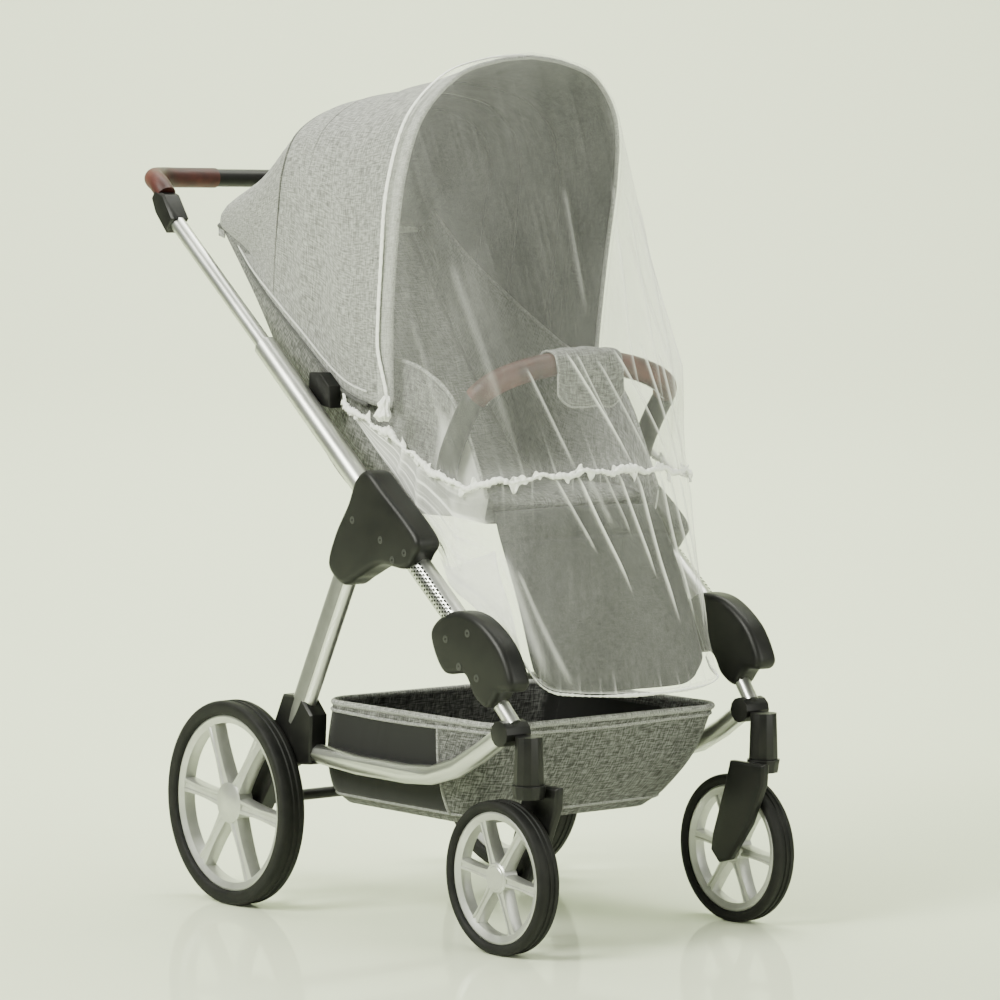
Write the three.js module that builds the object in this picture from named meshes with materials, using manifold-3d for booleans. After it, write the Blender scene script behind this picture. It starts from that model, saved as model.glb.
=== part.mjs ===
import * as THREE from "three";
import Module from "manifold-3d";

// A mosquito net stretched over a plain stroller. Sizes are in mm, +Z is up,
// the stroller faces -Y and rests on the floor at z = 0.

// Driving sizes of the cloth
const netThick = 1.5;
const hoodThick = 3;
const clothClear = 2;
const gap = 0.3;
const hoodLength = 420;
const bindingSetBack = 26;
const bindingWidth = 7;
const bindingThick = 2.2;
const ruffleRadius = 4.5;

// Driving sizes of the support
const sideTubeX = 219;
const lowerTubeX = 212;
const tubeSides = 10;
const barRadius = 16;
const rearWheel = { x: 247, y: 262, radius: 143, width: 38, rimWidth: 24 };
const frontWheel = { x: 205, y: -280, radius: 101, width: 33, rimWidth: 22 };
const wheelSegments = 24;

const vec = (x, y, z) => new THREE.Vector3(x, y, z);
const wasm = await Module();
wasm.setup();

// Piecewise smooth reading of a table by one of its columns
function readTable(table, key, at) {
  const last = table.length - 1;
  let i = 0;
  while (i < last - 1 && at > table[i + 1][key]) i += 1;
  const a = table[Math.max(i - 1, 0)];
  const b = table[i];
  const c = table[i + 1];
  const d = table[Math.min(i + 2, last)];
  const t = THREE.MathUtils.clamp((at - b[key]) / (c[key] - b[key]), 0, 1);
  const span = c[key] - b[key];
  const row = {};
  for (const name of Object.keys(b)) {
    const slopeIn = a === b ? (c[name] - b[name]) / span : (c[name] - a[name]) / (c[key] - a[key]);
    const slopeOut = d === c ? (c[name] - b[name]) / span : (d[name] - b[name]) / (d[key] - b[key]);
    const t2 = t * t;
    const t3 = t2 * t;
    row[name] = (2 * t3 - 3 * t2 + 1) * b[name] + (t3 - 2 * t2 + t) * slopeIn * span
      + (3 * t2 - 2 * t3) * c[name] + (t3 - t2) * slopeOut * span;
  }
  return row;
}

// Half profile of a hood bow: across 0 at the top and 1 at the lower edge
const bowProfile = [
  { across: 0.0, side: 0.0, rise: 1.0 },
  { across: 0.14, side: 0.32, rise: 0.985 },
  { across: 0.28, side: 0.65, rise: 0.94 },
  { across: 0.42, side: 0.91, rise: 0.825 },
  { across: 0.56, side: 1.0, rise: 0.655 },
  { across: 0.7, side: 1.0, rise: 0.45 },
  { across: 0.85, side: 0.98, rise: 0.21 },
  { across: 1.0, side: 0.95, rise: 0.0 },
];

// Bows of the hood from the front rim to the rear edge
const hoodBows = [
  { along: 0.0, half: 185, baseY: -8, baseZ: 700, topY: -88, topZ: 1171, lean: 1.8 },
  { along: 0.12, half: 187, baseY: 36, baseZ: 703, topY: -42, topZ: 1161, lean: 1.5 },
  { along: 0.33, half: 189, baseY: 100, baseZ: 724, topY: 62, topZ: 1143, lean: 1.2 },
  { along: 0.6, half: 188, baseY: 196, baseZ: 790, topY: 146, topZ: 1131, lean: 1.0 },
  { along: 0.78, half: 184, baseY: 266, baseZ: 837, topY: 212, topZ: 1118, lean: 1.0 },
  { along: 0.9, half: 180, baseY: 322, baseZ: 880, topY: 300, topZ: 1042, lean: 1.0 },
  { along: 0.96, half: 178, baseY: 356, baseZ: 918, topY: 397, topZ: 988, lean: 1.0 },
  { along: 1.0, half: 177, baseY: 374, baseZ: 938, topY: 402, topZ: 950, lean: 1.0 },
];

// Point on the middle of the hood cloth, across from -1 near to 1 far
function hoodPoint(along, across) {
  const bow = readTable(hoodBows, "along", along);
  const profile = readTable(bowProfile, "across", Math.abs(across));
  return vec(
    Math.sign(across) * bow.half * profile.side,
    bow.baseY + (bow.topY - bow.baseY) * Math.max(profile.rise, 0) ** bow.lean,
    bow.baseZ + (bow.topZ - bow.baseZ) * profile.rise,
  );
}

// Direction out of the hood at a point of its cloth
function hoodOut(along, across) {
  const step = 0.01;
  const left = hoodPoint(along, Math.max(across - step, -1));
  const right = hoodPoint(along, Math.min(across + step, 1));
  const front = hoodPoint(Math.max(along - step, 0), across);
  const back = hoodPoint(Math.min(along + step, 1), across);
  return right.sub(left).cross(back.sub(front)).normalize();
}

// Stations of the net from the middle of its front (0) to the side corners (1):
// where it passes the bumper bar, the waist elastic and the foot end
const netStations = [
  { across: 0.0, barX: 0, barY: -228, barZ: 780, waistX: 0, waistY: -268, waistZ: 621 },
  { across: 0.14, barX: 55, barY: -227, barZ: 778, waistX: 55, waistY: -264, waistZ: 620 },
  { across: 0.28, barX: 108, barY: -222, barZ: 772, waistX: 108, waistY: -250, waistZ: 616 },
  { across: 0.44, barX: 162, barY: -208, barZ: 756, waistX: 160, waistY: -224, waistZ: 610 },
  { across: 0.58, barX: 192, barY: -160, barZ: 744, waistX: 191, waistY: -182, waistZ: 604 },
  { across: 0.72, barX: 195, barY: -100, barZ: 730, waistX: 194, waistY: -122, waistZ: 622 },
  { across: 0.86, barX: 195, barY: -56, barZ: 710, waistX: 194, waistY: -72, waistZ: 646 },
  { across: 1.0, barX: 193, barY: -22, barZ: 692, waistX: 193, waistY: -26, waistZ: 668 },
];

// The net leans to the far side on its way down
const leanAtBar = 0.0;
const leanAtWaist = 0.1;

function stationPoint(across, prefix) {
  const row = readTable(netStations, "across", Math.abs(across));
  return vec(Math.sign(across) * row[`${prefix}X`], row[`${prefix}Y`], row[`${prefix}Z`]);
}

function leaned(across, lean) {
  return across + lean * (1 - across * across);
}

// Direction out of the waist line, level
function waistOut(across) {
  const step = 0.01;
  const before = stationPoint(Math.max(across - step, -1), "waist");
  const after = stationPoint(Math.min(across + step, 1), "waist");
  const run = after.sub(before);
  return vec(run.y, -run.x, 0).normalize();
}

// Folds that run down the net: where they cross, where they start and end
// on the way down (0 top, 1 bottom), how high they stand and how wide they are
const upperFolds = [
  { across: -0.47, from: 0.4, to: 1.0, height: 3, halfWidth: 0.02 },
  { across: -0.28, from: 0.7, to: 1.0, height: 4, halfWidth: 0.014 },
  { across: -0.08, from: 0.68, to: 1.0, height: 6, halfWidth: 0.016 },
  { across: 0.03, from: 0.7, to: 1.0, height: 5, halfWidth: 0.016 },
  { across: 0.13, from: 0.35, to: 1.0, height: 6, halfWidth: 0.018 },
  { across: 0.2, from: 0.15, to: 0.8, height: 5, halfWidth: 0.014 },
  { across: 0.28, from: 0.1, to: 0.95, height: 6, halfWidth: 0.018 },
  { across: 0.38, from: 0.08, to: 0.95, height: 6, halfWidth: 0.018 },
  { across: 0.5, from: 0.1, to: 0.95, height: 4, halfWidth: 0.016 },
];

const lowerFolds = [
  { across: -0.88, from: 0.05, to: 0.95, height: 5, halfWidth: 0.022 },
  { across: -0.6, from: 0.1, to: 0.95, height: 5, halfWidth: 0.022 },
  { across: -0.38, from: 0.3, to: 1.0, height: 7, halfWidth: 0.026 },
  { across: -0.18, from: 0.0, to: 0.45, height: 6, halfWidth: 0.018 },
  { across: -0.08, from: 0.0, to: 0.6, height: 7, halfWidth: 0.018 },
  { across: 0.13, from: 0.0, to: 0.75, height: 8, halfWidth: 0.018 },
  { across: 0.24, from: 0.0, to: 0.7, height: 6, halfWidth: 0.016 },
  { across: 0.33, from: 0.0, to: 0.85, height: 6, halfWidth: 0.016 },
];

// How far the folds lift the cloth at a place on it
function foldLift(folds, across, down) {
  let lift = 0;
  for (const fold of folds) {
    const off = Math.abs(across - fold.across) / (fold.halfWidth * 1.9);
    if (off >= 1 || down <= fold.from || down >= fold.to) continue;
    const run = (down - fold.from) / (fold.to - fold.from);
    const ends = Math.min(1, run * 4, (1 - run) * 9);
    lift += fold.height * ends * (1 - off) * (1 - off);
  }
  return lift;
}

// Columns of a net panel: even ones, with three on each fold
function foldColumns(folds, from, to, count) {
  const columns = [];
  for (const fold of folds) {
    columns.push(fold.across - fold.halfWidth, fold.across, fold.across + fold.halfWidth);
  }
  const step = (to - from) / count;
  for (let i = 0; i <= count; i += 1) {
    const at = from + step * i;
    const close = columns.some((c) => Math.abs(c - at) < step * 0.42);
    if (i === 0 || i === count || !close) columns.push(at);
  }
  return columns.filter((c) => c >= from && c <= to).sort((a, b) => a - b);
}

// A closed sheet on a grid of points, thick across its own normals
function sheet(grid, thickOf) {
  const rows = grid.length;
  const cols = grid[0].length;
  const top = [];
  const under = [];
  for (let i = 0; i < rows; i += 1) {
    for (let j = 0; j < cols; j += 1) {
      const du = grid[Math.min(i + 1, rows - 1)][j].clone().sub(grid[Math.max(i - 1, 0)][j]);
      const dv = grid[i][Math.min(j + 1, cols - 1)].clone().sub(grid[i][Math.max(j - 1, 0)]);
      const out = dv.cross(du).normalize();
      const half = (typeof thickOf === "function" ? thickOf(i, j) : thickOf) / 2;
      top.push(grid[i][j].clone().addScaledVector(out, half));
      under.push(grid[i][j].clone().addScaledVector(out, -half));
    }
  }
  const count = rows * cols;
  const index = [];
  const quad = (a, b, c, d) => index.push(a, b, c, a, c, d);
  const at = (i, j) => i * cols + j;
  for (let i = 0; i < rows - 1; i += 1) {
    for (let j = 0; j < cols - 1; j += 1) {
      quad(at(i, j), at(i, j + 1), at(i + 1, j + 1), at(i + 1, j));
      quad(count + at(i, j), count + at(i + 1, j), count + at(i + 1, j + 1), count + at(i, j + 1));
    }
  }
  for (let j = 0; j < cols - 1; j += 1) {
    quad(at(0, j + 1), at(0, j), count + at(0, j), count + at(0, j + 1));
    quad(at(rows - 1, j), at(rows - 1, j + 1), count + at(rows - 1, j + 1), count + at(rows - 1, j));
  }
  for (let i = 0; i < rows - 1; i += 1) {
    quad(at(i, 0), at(i + 1, 0), count + at(i + 1, 0), count + at(i, 0));
    quad(at(i + 1, cols - 1), at(i, cols - 1), count + at(i, cols - 1), count + at(i + 1, cols - 1));
  }
  return facetedGeometry(top.concat(under), index);
}

// A closed body through a list of rings of equal length, capped at both ends
function loft(rings) {
  const sides = rings[0].length;
  const points = rings.flat();
  const index = [];
  for (let i = 0; i < rings.length - 1; i += 1) {
    for (let j = 0; j < sides; j += 1) {
      const k = (j + 1) % sides;
      index.push(i * sides + j, i * sides + k, (i + 1) * sides + k);
      index.push(i * sides + j, (i + 1) * sides + k, (i + 1) * sides + j);
    }
  }
  const middle = (ring) => ring.reduce((sum, p) => sum.add(p), vec(0, 0, 0)).divideScalar(sides);
  const first = points.push(middle(rings[0])) - 1;
  const last = points.push(middle(rings[rings.length - 1])) - 1;
  const end = (rings.length - 1) * sides;
  for (let j = 0; j < sides; j += 1) {
    const k = (j + 1) % sides;
    index.push(first, k, j);
    index.push(last, end + j, end + k);
  }
  return facetedGeometry(points, index);
}

function facetedGeometry(points, index) {
  const geometry = new THREE.BufferGeometry();
  const flat = new Float32Array(points.length * 3);
  points.forEach((p, i) => p.toArray(flat, i * 3));
  geometry.setAttribute("position", new THREE.BufferAttribute(flat, 3));
  geometry.setIndex(index);
  return outward(geometry);
}

// Turn the faces out where a body came out with them facing in
function outward(geometry) {
  const p = geometry.attributes.position;
  const index = geometry.index.array;
  const a = vec(0, 0, 0);
  const b = vec(0, 0, 0);
  const c = vec(0, 0, 0);
  let volume = 0;
  for (let i = 0; i < index.length; i += 3) {
    a.fromBufferAttribute(p, index[i]);
    b.fromBufferAttribute(p, index[i + 1]);
    c.fromBufferAttribute(p, index[i + 2]);
    volume += a.dot(b.cross(c));
  }
  if (volume < 0) {
    for (let i = 0; i < index.length; i += 3) {
      const keep = index[i];
      index[i] = index[i + 1];
      index[i + 1] = keep;
    }
  }
  geometry.computeVertexNormals();
  return geometry;
}

// The upper panel: on the hood, over its rim, down over the bar to the waist
const upperDown = [0, 0.14, 0.3, 0.45, 0.58, 0.67, 0.72, 0.76, 0.81, 0.88, 0.95, 1];
const barDown = 0.74;

const netLift = hoodThick / 2 + clothClear + netThick / 2 + 2;
const netPressed = hoodThick / 2 + netThick / 2 + gap * 1.5;

// The elastic pulls the net close against the sides of the hood
function liftOnHood(across) {
  return THREE.MathUtils.lerp(netLift, netPressed, THREE.MathUtils.smoothstep(Math.abs(across), 0.6, 0.76));
}

function netRimPoint(across) {
  const out = hoodOut(0, across);
  return hoodPoint(0, across).addScaledVector(out, netLift).add(vec(0, -clothClear - netThick, 0));
}

function netOnHood(along, across) {
  return hoodPoint(along, across).addScaledVector(hoodOut(along, across), liftOnHood(across));
}

function upperPoint(across, down) {
  const rim = netRimPoint(across);
  const bar = stationPoint(leaned(across, leanAtBar), "bar");
  const waist = stationPoint(leaned(across, leanAtWaist), "waist");
  waist.z += netThick / 2 + gap;
  const point = down < barDown
    ? rim.clone().lerp(bar, down / barDown)
    : bar.clone().lerp(waist, (down - barDown) / (1 - barDown));
  const sag = Math.sin(Math.PI * Math.min(down / barDown, 1)) * 4 * Math.abs(across);
  point.addScaledVector(waistOut(leaned(across, leanAtWaist)), -sag);
  return point;
}

function netUpper() {
  const columns = foldColumns(upperFolds, -1, 1, 34);
  const hoodAlong = bindingSetBack / hoodLength;
  const grid = [];
  for (const along of [hoodAlong, hoodAlong * 0.4]) {
    grid.push(columns.map((across) => netOnHood(along, across)));
  }
  for (const down of upperDown) {
    grid.push(columns.map((across) => {
      const out = waistOut(leaned(across, leanAtWaist * down));
      return upperPoint(across, down).addScaledVector(out, foldLift(upperFolds, across, down));
    }));
  }
  return sheet(grid, netThick);
}

// Hem of the lower panel from the near side back edge, round the foot end,
// to the far side: a row for each station of the waist line above it
const hemStations = [
  { across: -1.3, x: -189, y: 66, z: 690 },
  { across: -1.15, x: -192, y: 9, z: 645 },
  { across: -1.0, x: -193, y: -48, z: 600 },
  { across: -0.86, x: -194, y: -94, z: 548 },
  { across: -0.72, x: -194, y: -142, z: 506 },
  { across: -0.64, x: -193, y: -160, z: 470 },
  { across: -0.54, x: -189, y: -200, z: 446 },
  { across: -0.44, x: -174, y: -258, z: 404 },
  { across: -0.33, x: -152, y: -296, z: 350 },
  { across: -0.2, x: -105, y: -310, z: 336 },
  { across: 0.0, x: 0, y: -318, z: 330 },
  { across: 0.2, x: 100, y: -314, z: 332 },
  { across: 0.34, x: 152, y: -298, z: 340 },
  { across: 0.46, x: 162, y: -270, z: 354 },
  { across: 0.6, x: 174, y: -230, z: 404 },
  { across: 0.72, x: 186, y: -176, z: 474 },
  { across: 0.86, x: 193, y: -106, z: 542 },
  { across: 1.0, x: 193, y: -48, z: 600 },
  { across: 1.15, x: 192, y: 9, z: 645 },
  { across: 1.3, x: 189, y: 66, z: 690 },
];

// The waist elastic runs on behind the corners, beside the seat
const waistBack = [
  { across: 1.0, x: 193, y: -26, z: 668 },
  { across: 1.1, x: 193, y: 8, z: 678 },
  { across: 1.2, x: 192, y: 46, z: 692 },
  { across: 1.3, x: 189, y: 84, z: 707 },
];

function waistPoint(across) {
  if (Math.abs(across) <= 1) return stationPoint(across, "waist");
  const row = readTable(waistBack, "across", Math.abs(across));
  return vec(Math.sign(across) * row.x, row.y, row.z);
}

function waistPointOut(across) {
  return waistOut(THREE.MathUtils.clamp(across, -1, 1));
}

const lowerDown = [0, 0.07, 0.17, 0.3, 0.44, 0.58, 0.72, 0.86, 1];

function lowerPoint(across, down) {
  const waist = waistPoint(across);
  waist.z -= netThick / 2 + gap;
  const row = readTable(hemStations, "across", across);
  const hem = vec(row.x, row.y, row.z);
  const point = waist.lerp(hem, down);
  const sag = Math.sin(Math.PI * down) * 7 * THREE.MathUtils.clamp(1 - Math.abs(across), 0, 1);
  return point.addScaledVector(waistPointOut(across), -sag);
}

function netLower() {
  const columns = foldColumns(lowerFolds, -1.3, 1.3, 40);
  const grid = lowerDown.map((down) => columns.map((across) => (
    lowerPoint(across, down).addScaledVector(waistPointOut(across), foldLift(lowerFolds, across, down))
  )));
  return sheet(grid, netThick);
}

// Uneven swelling of a gathered strip along its run
function gathers(at) {
  return Math.sin(at * 61) * 0.5 + Math.sin(at * 97 + 1.3) * 0.3 + Math.sin(at * 23 + 0.4) * 0.2;
}

// The scrunched elastic round the waist
function waistRuffle(from, to) {
  const rings = [];
  const count = Math.round((to - from) * 38);
  const sides = 5;
  for (let i = 0; i <= count; i += 1) {
    const at = from + (to - from) * i / count;
    const atCorner = Math.max(0, 1 - Math.abs(Math.abs(at) - 1) / 0.05);
    const radius = ruffleRadius * (1.15 + 0.4 * gathers(at) + 0.9 * atCorner);
    const out = waistPointOut(at);
    const middle = waistPoint(at).addScaledVector(out, netThick / 2 + gap + radius + 0.4);
    middle.z += 2.5 * Math.sin(at * 37);
    rings.push([...Array(sides).keys()].map((k) => {
      const turn = Math.PI * 2 * (k + 0.5) / sides;
      return middle.clone().addScaledVector(out, Math.cos(turn) * radius)
        .add(vec(0, 0, Math.sin(turn) * radius * (1.2 + 0.3 * Math.sin(at * 53))));
    }));
  }
  return loft(rings);
}

// The bunch where the hood binding and the waist elastic meet
const bunchRings = [
  { down: 0, outer: 3, front: 5 },
  { down: 9, outer: 7, front: 10 },
  { down: 18, outer: 6, front: 9 },
  { down: 27, outer: 9, front: 15 },
  { down: 33, outer: 6, front: 11 },
];

function cornerBunch(side) {
  const top = stationPoint(side, "waist").add(vec(side * (netThick / 2 + gap), 0, 48));
  const sides = 8;
  return loft(bunchRings.map((row) => [...Array(sides).keys()].map((k) => {
    const turn = Math.PI * 2 * k / sides;
    const bump = 1 + 0.22 * Math.sin(k * 2.4 + row.down);
    return top.clone().add(vec(
      side * (row.outer * 1.02 + row.outer * Math.cos(turn) * 0.98),
      Math.sin(turn) * row.front * bump + row.down * 0.1,
      -row.down,
    ));
  })));
}

// The elastic binding that lies on the hood behind its rim
function hoodBinding() {
  const count = 54;
  const along = bindingSetBack / hoodLength;
  const overNet = netThick / 2 + gap + bindingThick / 2 + 0.7;
  const spread = bindingWidth / 2 / hoodLength;
  const rings = [];
  for (let i = 0; i <= count; i += 1) {
    const across = -0.985 + 1.97 * i / count;
    const wide = spread * (1 + 0.12 * Math.sin(across * 41));
    const corners = [[-1, 1], [0, 1.35], [1, 1], [1, -1], [-1, -1]];
    rings.push(corners.map(([forward, up]) => {
      const at = along - forward * wide + spread * 0.4;
      return hoodPoint(at, across)
        .addScaledVector(hoodOut(at, across), liftOnHood(across) + overNet + up * bindingThick / 2);
    }));
  }
  return loft(rings);
}

// The elastic along the hem, under the foot end
function hemElastic(from, to) {
  const rings = [];
  const count = Math.round((to - from) * 28);
  const radius = 2.4;
  for (let i = 0; i <= count; i += 1) {
    const at = from + (to - from) * i / count;
    const row = readTable(hemStations, "across", at);
    const above = lowerPoint(at, 0.94);
    const down = vec(row.x, row.y, row.z).sub(above).normalize();
    const out = waistPointOut(at);
    const middle = vec(row.x, row.y, row.z).addScaledVector(down, radius + gap + 1.3);
    rings.push([0, 1, 2, 3, 4, 5].map((k) => {
      const turn = Math.PI * 2 * k / 6;
      return middle.clone().addScaledVector(out, Math.cos(turn) * radius * (1 + 0.2 * gathers(at)))
        .addScaledVector(down, Math.sin(turn) * radius);
    }));
  }
  return loft(rings);
}

// The hood cloth
function hoodShell() {
  const grid = [];
  const alongs = [0, 0.09, 0.22, 0.38, 0.56, 0.7, 0.8, 0.9, 0.96, 1];
  for (const along of alongs) {
    const row = [];
    for (let j = 0; j <= 26; j += 1) row.push(hoodPoint(along, -1 + j / 13));
    grid.push(row);
  }
  return sheet(grid, hoodThick);
}

// Side profile of the seat from its top edge down the back and out to the front
const seatProfile = [
  { along: 0.0, y: 388, z: 934, topY: 352, topZ: 964, half: 160 },
  { along: 0.2, y: 318, z: 836, topY: 262, topZ: 900, half: 166 },
  { along: 0.42, y: 228, z: 716, topY: 152, topZ: 832, half: 169 },
  { along: 0.58, y: 150, z: 622, topY: 72, topZ: 790, half: 167 },
  { along: 0.68, y: 84, z: 574, topY: 20, topZ: 768, half: 163 },
  { along: 0.8, y: -10, z: 560, topY: -50, topZ: 750, half: 156 },
  { along: 0.92, y: -108, z: 558, topY: -118, topZ: 700, half: 149.6 },
  { along: 1.0, y: -172, z: 552, topY: -180, topZ: 584, half: 149 },
];

function seatFrame(along) {
  const row = readTable(seatProfile, "along", along);
  const before = readTable(seatProfile, "along", Math.max(along - 0.02, 0));
  const after = readTable(seatProfile, "along", Math.min(along + 0.02, 1));
  const run = vec(0, after.y - before.y, after.z - before.z).normalize();
  const side = vec(0, row.topY - row.y, row.topZ - row.z);
  return { at: vec(0, row.y, row.z), in: vec(0, run.z, -run.y), side, half: row.half };
}

// Across the seat shell: flat under the seat, turned up at the sides
const shellSection = [
  { across: 0.0, x: 0, rise: 0.0 },
  { across: 0.4, x: 0.54, rise: 0.0 },
  { across: 0.65, x: 0.94, rise: 0.0 },
  { across: 0.8, x: 1.0, rise: 0.14 },
  { across: 1.0, x: 1.0, rise: 1.0 },
];

function seatShell() {
  const grid = [];
  for (let i = 0; i <= 12; i += 1) {
    const frame = seatFrame(i / 12);
    const row = [];
    for (let j = -6; j <= 6; j += 1) {
      const across = Math.abs(j) / 6;
      const section = readTable(shellSection, "across", across);
      row.push(frame.at.clone().addScaledVector(frame.side, section.rise)
        .add(vec(Math.sign(j) * section.x * frame.half, 0, 0)));
    }
    grid.push(row);
  }
  return sheet(grid, hoodThick);
}

// The padded liner in the seat shell
const linerThick = 26;
const linerHalf = 138;

function seatLiner() {
  const grid = [];
  const rows = 13;
  for (let i = 0; i <= rows; i += 1) {
    const frame = seatFrame(0.03 + 0.95 * i / rows);
    const row = [];
    for (let j = -5; j <= 5; j += 1) {
      const across = j / 5;
      row.push(frame.at.clone()
        .addScaledVector(frame.in, hoodThick / 2 + 2.6 + linerThick / 2 + across * across * 8)
        .add(vec(across * linerHalf, 0, 0)));
    }
    grid.push(row);
  }
  return sheet(grid, (i, j) => {
    const edge = Math.min(1, (1 - Math.abs(j - 5) / 5) * 3 + 0.4);
    const ends = Math.min(1, Math.min(i, rows - i) / 2 + 0.4);
    return linerThick * edge * ends * 0.96;
  });
}

// The leg rest, from under the seat front down to its rounded foot end
const legProfile = [
  { along: 0.0, y: -180.4, z: 566, half: 138, thick: 16 },
  { along: 0.15, y: -199, z: 536, half: 144, thick: 22 },
  { along: 0.5, y: -240, z: 452, half: 146, thick: 22 },
  { along: 0.85, y: -272, z: 370, half: 147, thick: 22 },
  { along: 0.95, y: -283, z: 350, half: 145, thick: 16 },
  { along: 1.0, y: -289, z: 343, half: 140, thick: 8 },
];

function legRest() {
  const grid = [];
  const thick = [];
  for (const along of [0, 0.08, 0.2, 0.4, 0.6, 0.8, 0.9, 0.96, 1]) {
    const leg = readTable(legProfile, "along", along);
    const row = [];
    for (const across of [-1, -0.94, -0.8, -0.4, 0, 0.4, 0.8, 0.94, 1]) {
      const dip = (1 - across * across) * 6;
      row.push(vec(across * leg.half, leg.y + dip, leg.z + dip * 0.4));
    }
    grid.push(row);
    thick.push(leg.thick);
  }
  return sheet(grid, (i, j) => thick[i] * (j === 0 || j === 8 ? 0.35 : j === 1 || j === 7 ? 0.8 : 1));
}

// Bumper bar: half of its axis from the middle to the end of the near elbow
const barStations = [
  { across: 0.0, x: 0, y: -196, z: 763 },
  { across: 0.3, x: 66, y: -194, z: 758 },
  { across: 0.6, x: 122, y: -190, z: 745 },
  { across: 0.85, x: 156, y: -184, z: 729 },
  { across: 1.0, x: 167, y: -170, z: 712 },
];

function barPoint(across) {
  const row = readTable(barStations, "across", Math.abs(across));
  return vec(Math.sign(across) * row.x, row.y, row.z);
}

// A round bar along a smooth run of points
function bar(points, radius, steps, sides = tubeSides) {
  const shape = new THREE.Shape();
  for (let i = 0; i < sides; i += 1) {
    const turn = Math.PI * 2 * i / sides;
    if (i === 0) shape.moveTo(radius, 0);
    else shape.lineTo(Math.cos(turn) * radius, Math.sin(turn) * radius);
  }
  shape.closePath();
  const run = new THREE.CatmullRomCurve3(points, false, "centripetal");
  return new THREE.ExtrudeGeometry(shape, { steps, bevelEnabled: false, extrudePath: run });
}

function bumperBar() {
  const points = [];
  for (let i = -9; i <= 9; i += 1) points.push(barPoint(i / 9 * 0.957));
  return bar(points, barRadius, 18);
}

// The cloth cover that hangs over the middle of the bar
function bumperCover() {
  const inner = barRadius + gap + hoodThick / 2 + 0.9;
  const section = [
    [-1.02, -56], [-1.05, -18], [-1, 0], [-0.74, 0.74], [0, 1.03], [0.74, 0.74], [1, 0], [0.97, -20],
  ];
  const grid = [];
  for (let i = 0; i <= 5; i += 1) {
    const at = barPoint(-0.26 + 0.5 * i / 5);
    grid.push(section.map(([side, up]) => at.clone().add(vec(
      0,
      side * inner * 1.12,
      Math.abs(up) > 2 ? up : up * inner,
    ))));
  }
  return sheet(grid, hoodThick);
}

const elbowX = 167.3;

function elbow(side) {
  const start = barPoint(side * 0.967);
  const end = barPoint(side);
  const foot = [[-149, 684], [-122, 636], [-112, 586]].map(([y, z]) => vec(side * elbowX, y, z));
  return bar([start, end, ...foot], barRadius - 1, 8);
}

// A closed prism: an outline in the y, z plane made solid along x
function plate(outline, fromX, toX, bevel = 2) {
  const shape = new THREE.Shape(outline.map(([y, z]) => new THREE.Vector2(y, z)));
  const depth = toX - fromX - 2 * bevel;
  const geometry = new THREE.ExtrudeGeometry(shape, {
    depth,
    bevelEnabled: bevel > 0,
    bevelThickness: bevel,
    bevelSize: bevel,
    bevelOffset: -bevel,
    bevelSegments: 1,
  });
  geometry.translate(0, 0, fromX + bevel);
  geometry.applyMatrix4(new THREE.Matrix4().set(0, 0, 1, 0, 1, 0, 0, 0, 0, 1, 0, 0, 0, 0, 0, 1));
  return geometry;
}

function toManifold(geometry) {
  const plain = geometry.index ? geometry.toNonIndexed() : geometry;
  const position = plain.attributes.position;
  const seen = new Map();
  const vertices = [];
  const triangles = [];
  for (let i = 0; i < position.count; i += 1) {
    const point = [position.getX(i), position.getY(i), position.getZ(i)];
    const key = point.map((value) => Math.round(value * 1e4)).join();
    if (!seen.has(key)) {
      seen.set(key, vertices.length / 3);
      vertices.push(...point);
    }
    triangles.push(seen.get(key));
  }
  const kept = [];
  for (let i = 0; i < triangles.length; i += 3) {
    const [a, b, c] = triangles.slice(i, i + 3);
    if (a !== b && b !== c && a !== c) kept.push(a, b, c);
  }
  return new wasm.Manifold(new wasm.Mesh({
    numProp: 3,
    vertProperties: new Float32Array(vertices),
    triVerts: new Uint32Array(kept),
  }));
}

function fromManifold(solid) {
  const mesh = solid.getMesh();
  const geometry = new THREE.BufferGeometry();
  geometry.setAttribute("position", new THREE.BufferAttribute(mesh.vertProperties, 3));
  geometry.setIndex([...mesh.triVerts]);
  geometry.computeVertexNormals();
  return geometry;
}

function cut(geometry, ...tools) {
  let solid = toManifold(geometry);
  for (const tool of tools) solid = solid.subtract(toManifold(tool));
  return fromManifold(solid);
}

function joined(geometry, ...others) {
  let solid = toManifold(geometry);
  for (const other of others) solid = solid.add(toManifold(other));
  return fromManifold(solid);
}

// A straight round tube between two points
function tube(from, to, radius, sides = tubeSides) {
  return bar([from, to], radius, 1, sides);
}

// Points of the chassis on one side, in the y, z plane
const chassis = {
  handleEnd: [450, 958],
  collar: [225, 779],
  kneeTop: [-205, 425],
  legTop: [24, 500],
  legFoot: [158, 262],
};

const onSide = (side, x, [y, z]) => vec(side * x, y, z);

function upperTube(side) {
  return tube(onSide(side, sideTubeX, chassis.handleEnd), onSide(side, sideTubeX, chassis.collar), 11.5);
}

function lowerTubeBody(side, grow = 0) {
  const [y0, z0] = chassis.collar;
  const start = vec(side * sideTubeX, y0 - 0.3, z0 - 0.25);
  return tube(start, onSide(side, sideTubeX - 5, chassis.kneeTop), 16.5 + grow);
}

function hub(side) {
  const outline = [
    [-8, 606], [-34, 618], [-66, 596], [-142, 536], [-134, 508], [-112, 492], [-60, 494],
    [-10, 474], [22, 462], [54, 486], [40, 528], [10, 572],
  ];
  const x0 = side > 0 ? 199 : -240;
  const body = plate(outline, x0, x0 + 41, 4);
  return cut(body, lowerTubeBody(side, gap), legTube(side, gap));
}

function legTube(side, grow = 0) {
  const foot = onSide(side, sideTubeX - 5, chassis.legFoot);
  return tube(onSide(side, sideTubeX, chassis.legTop), foot, 14 + grow);
}

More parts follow.
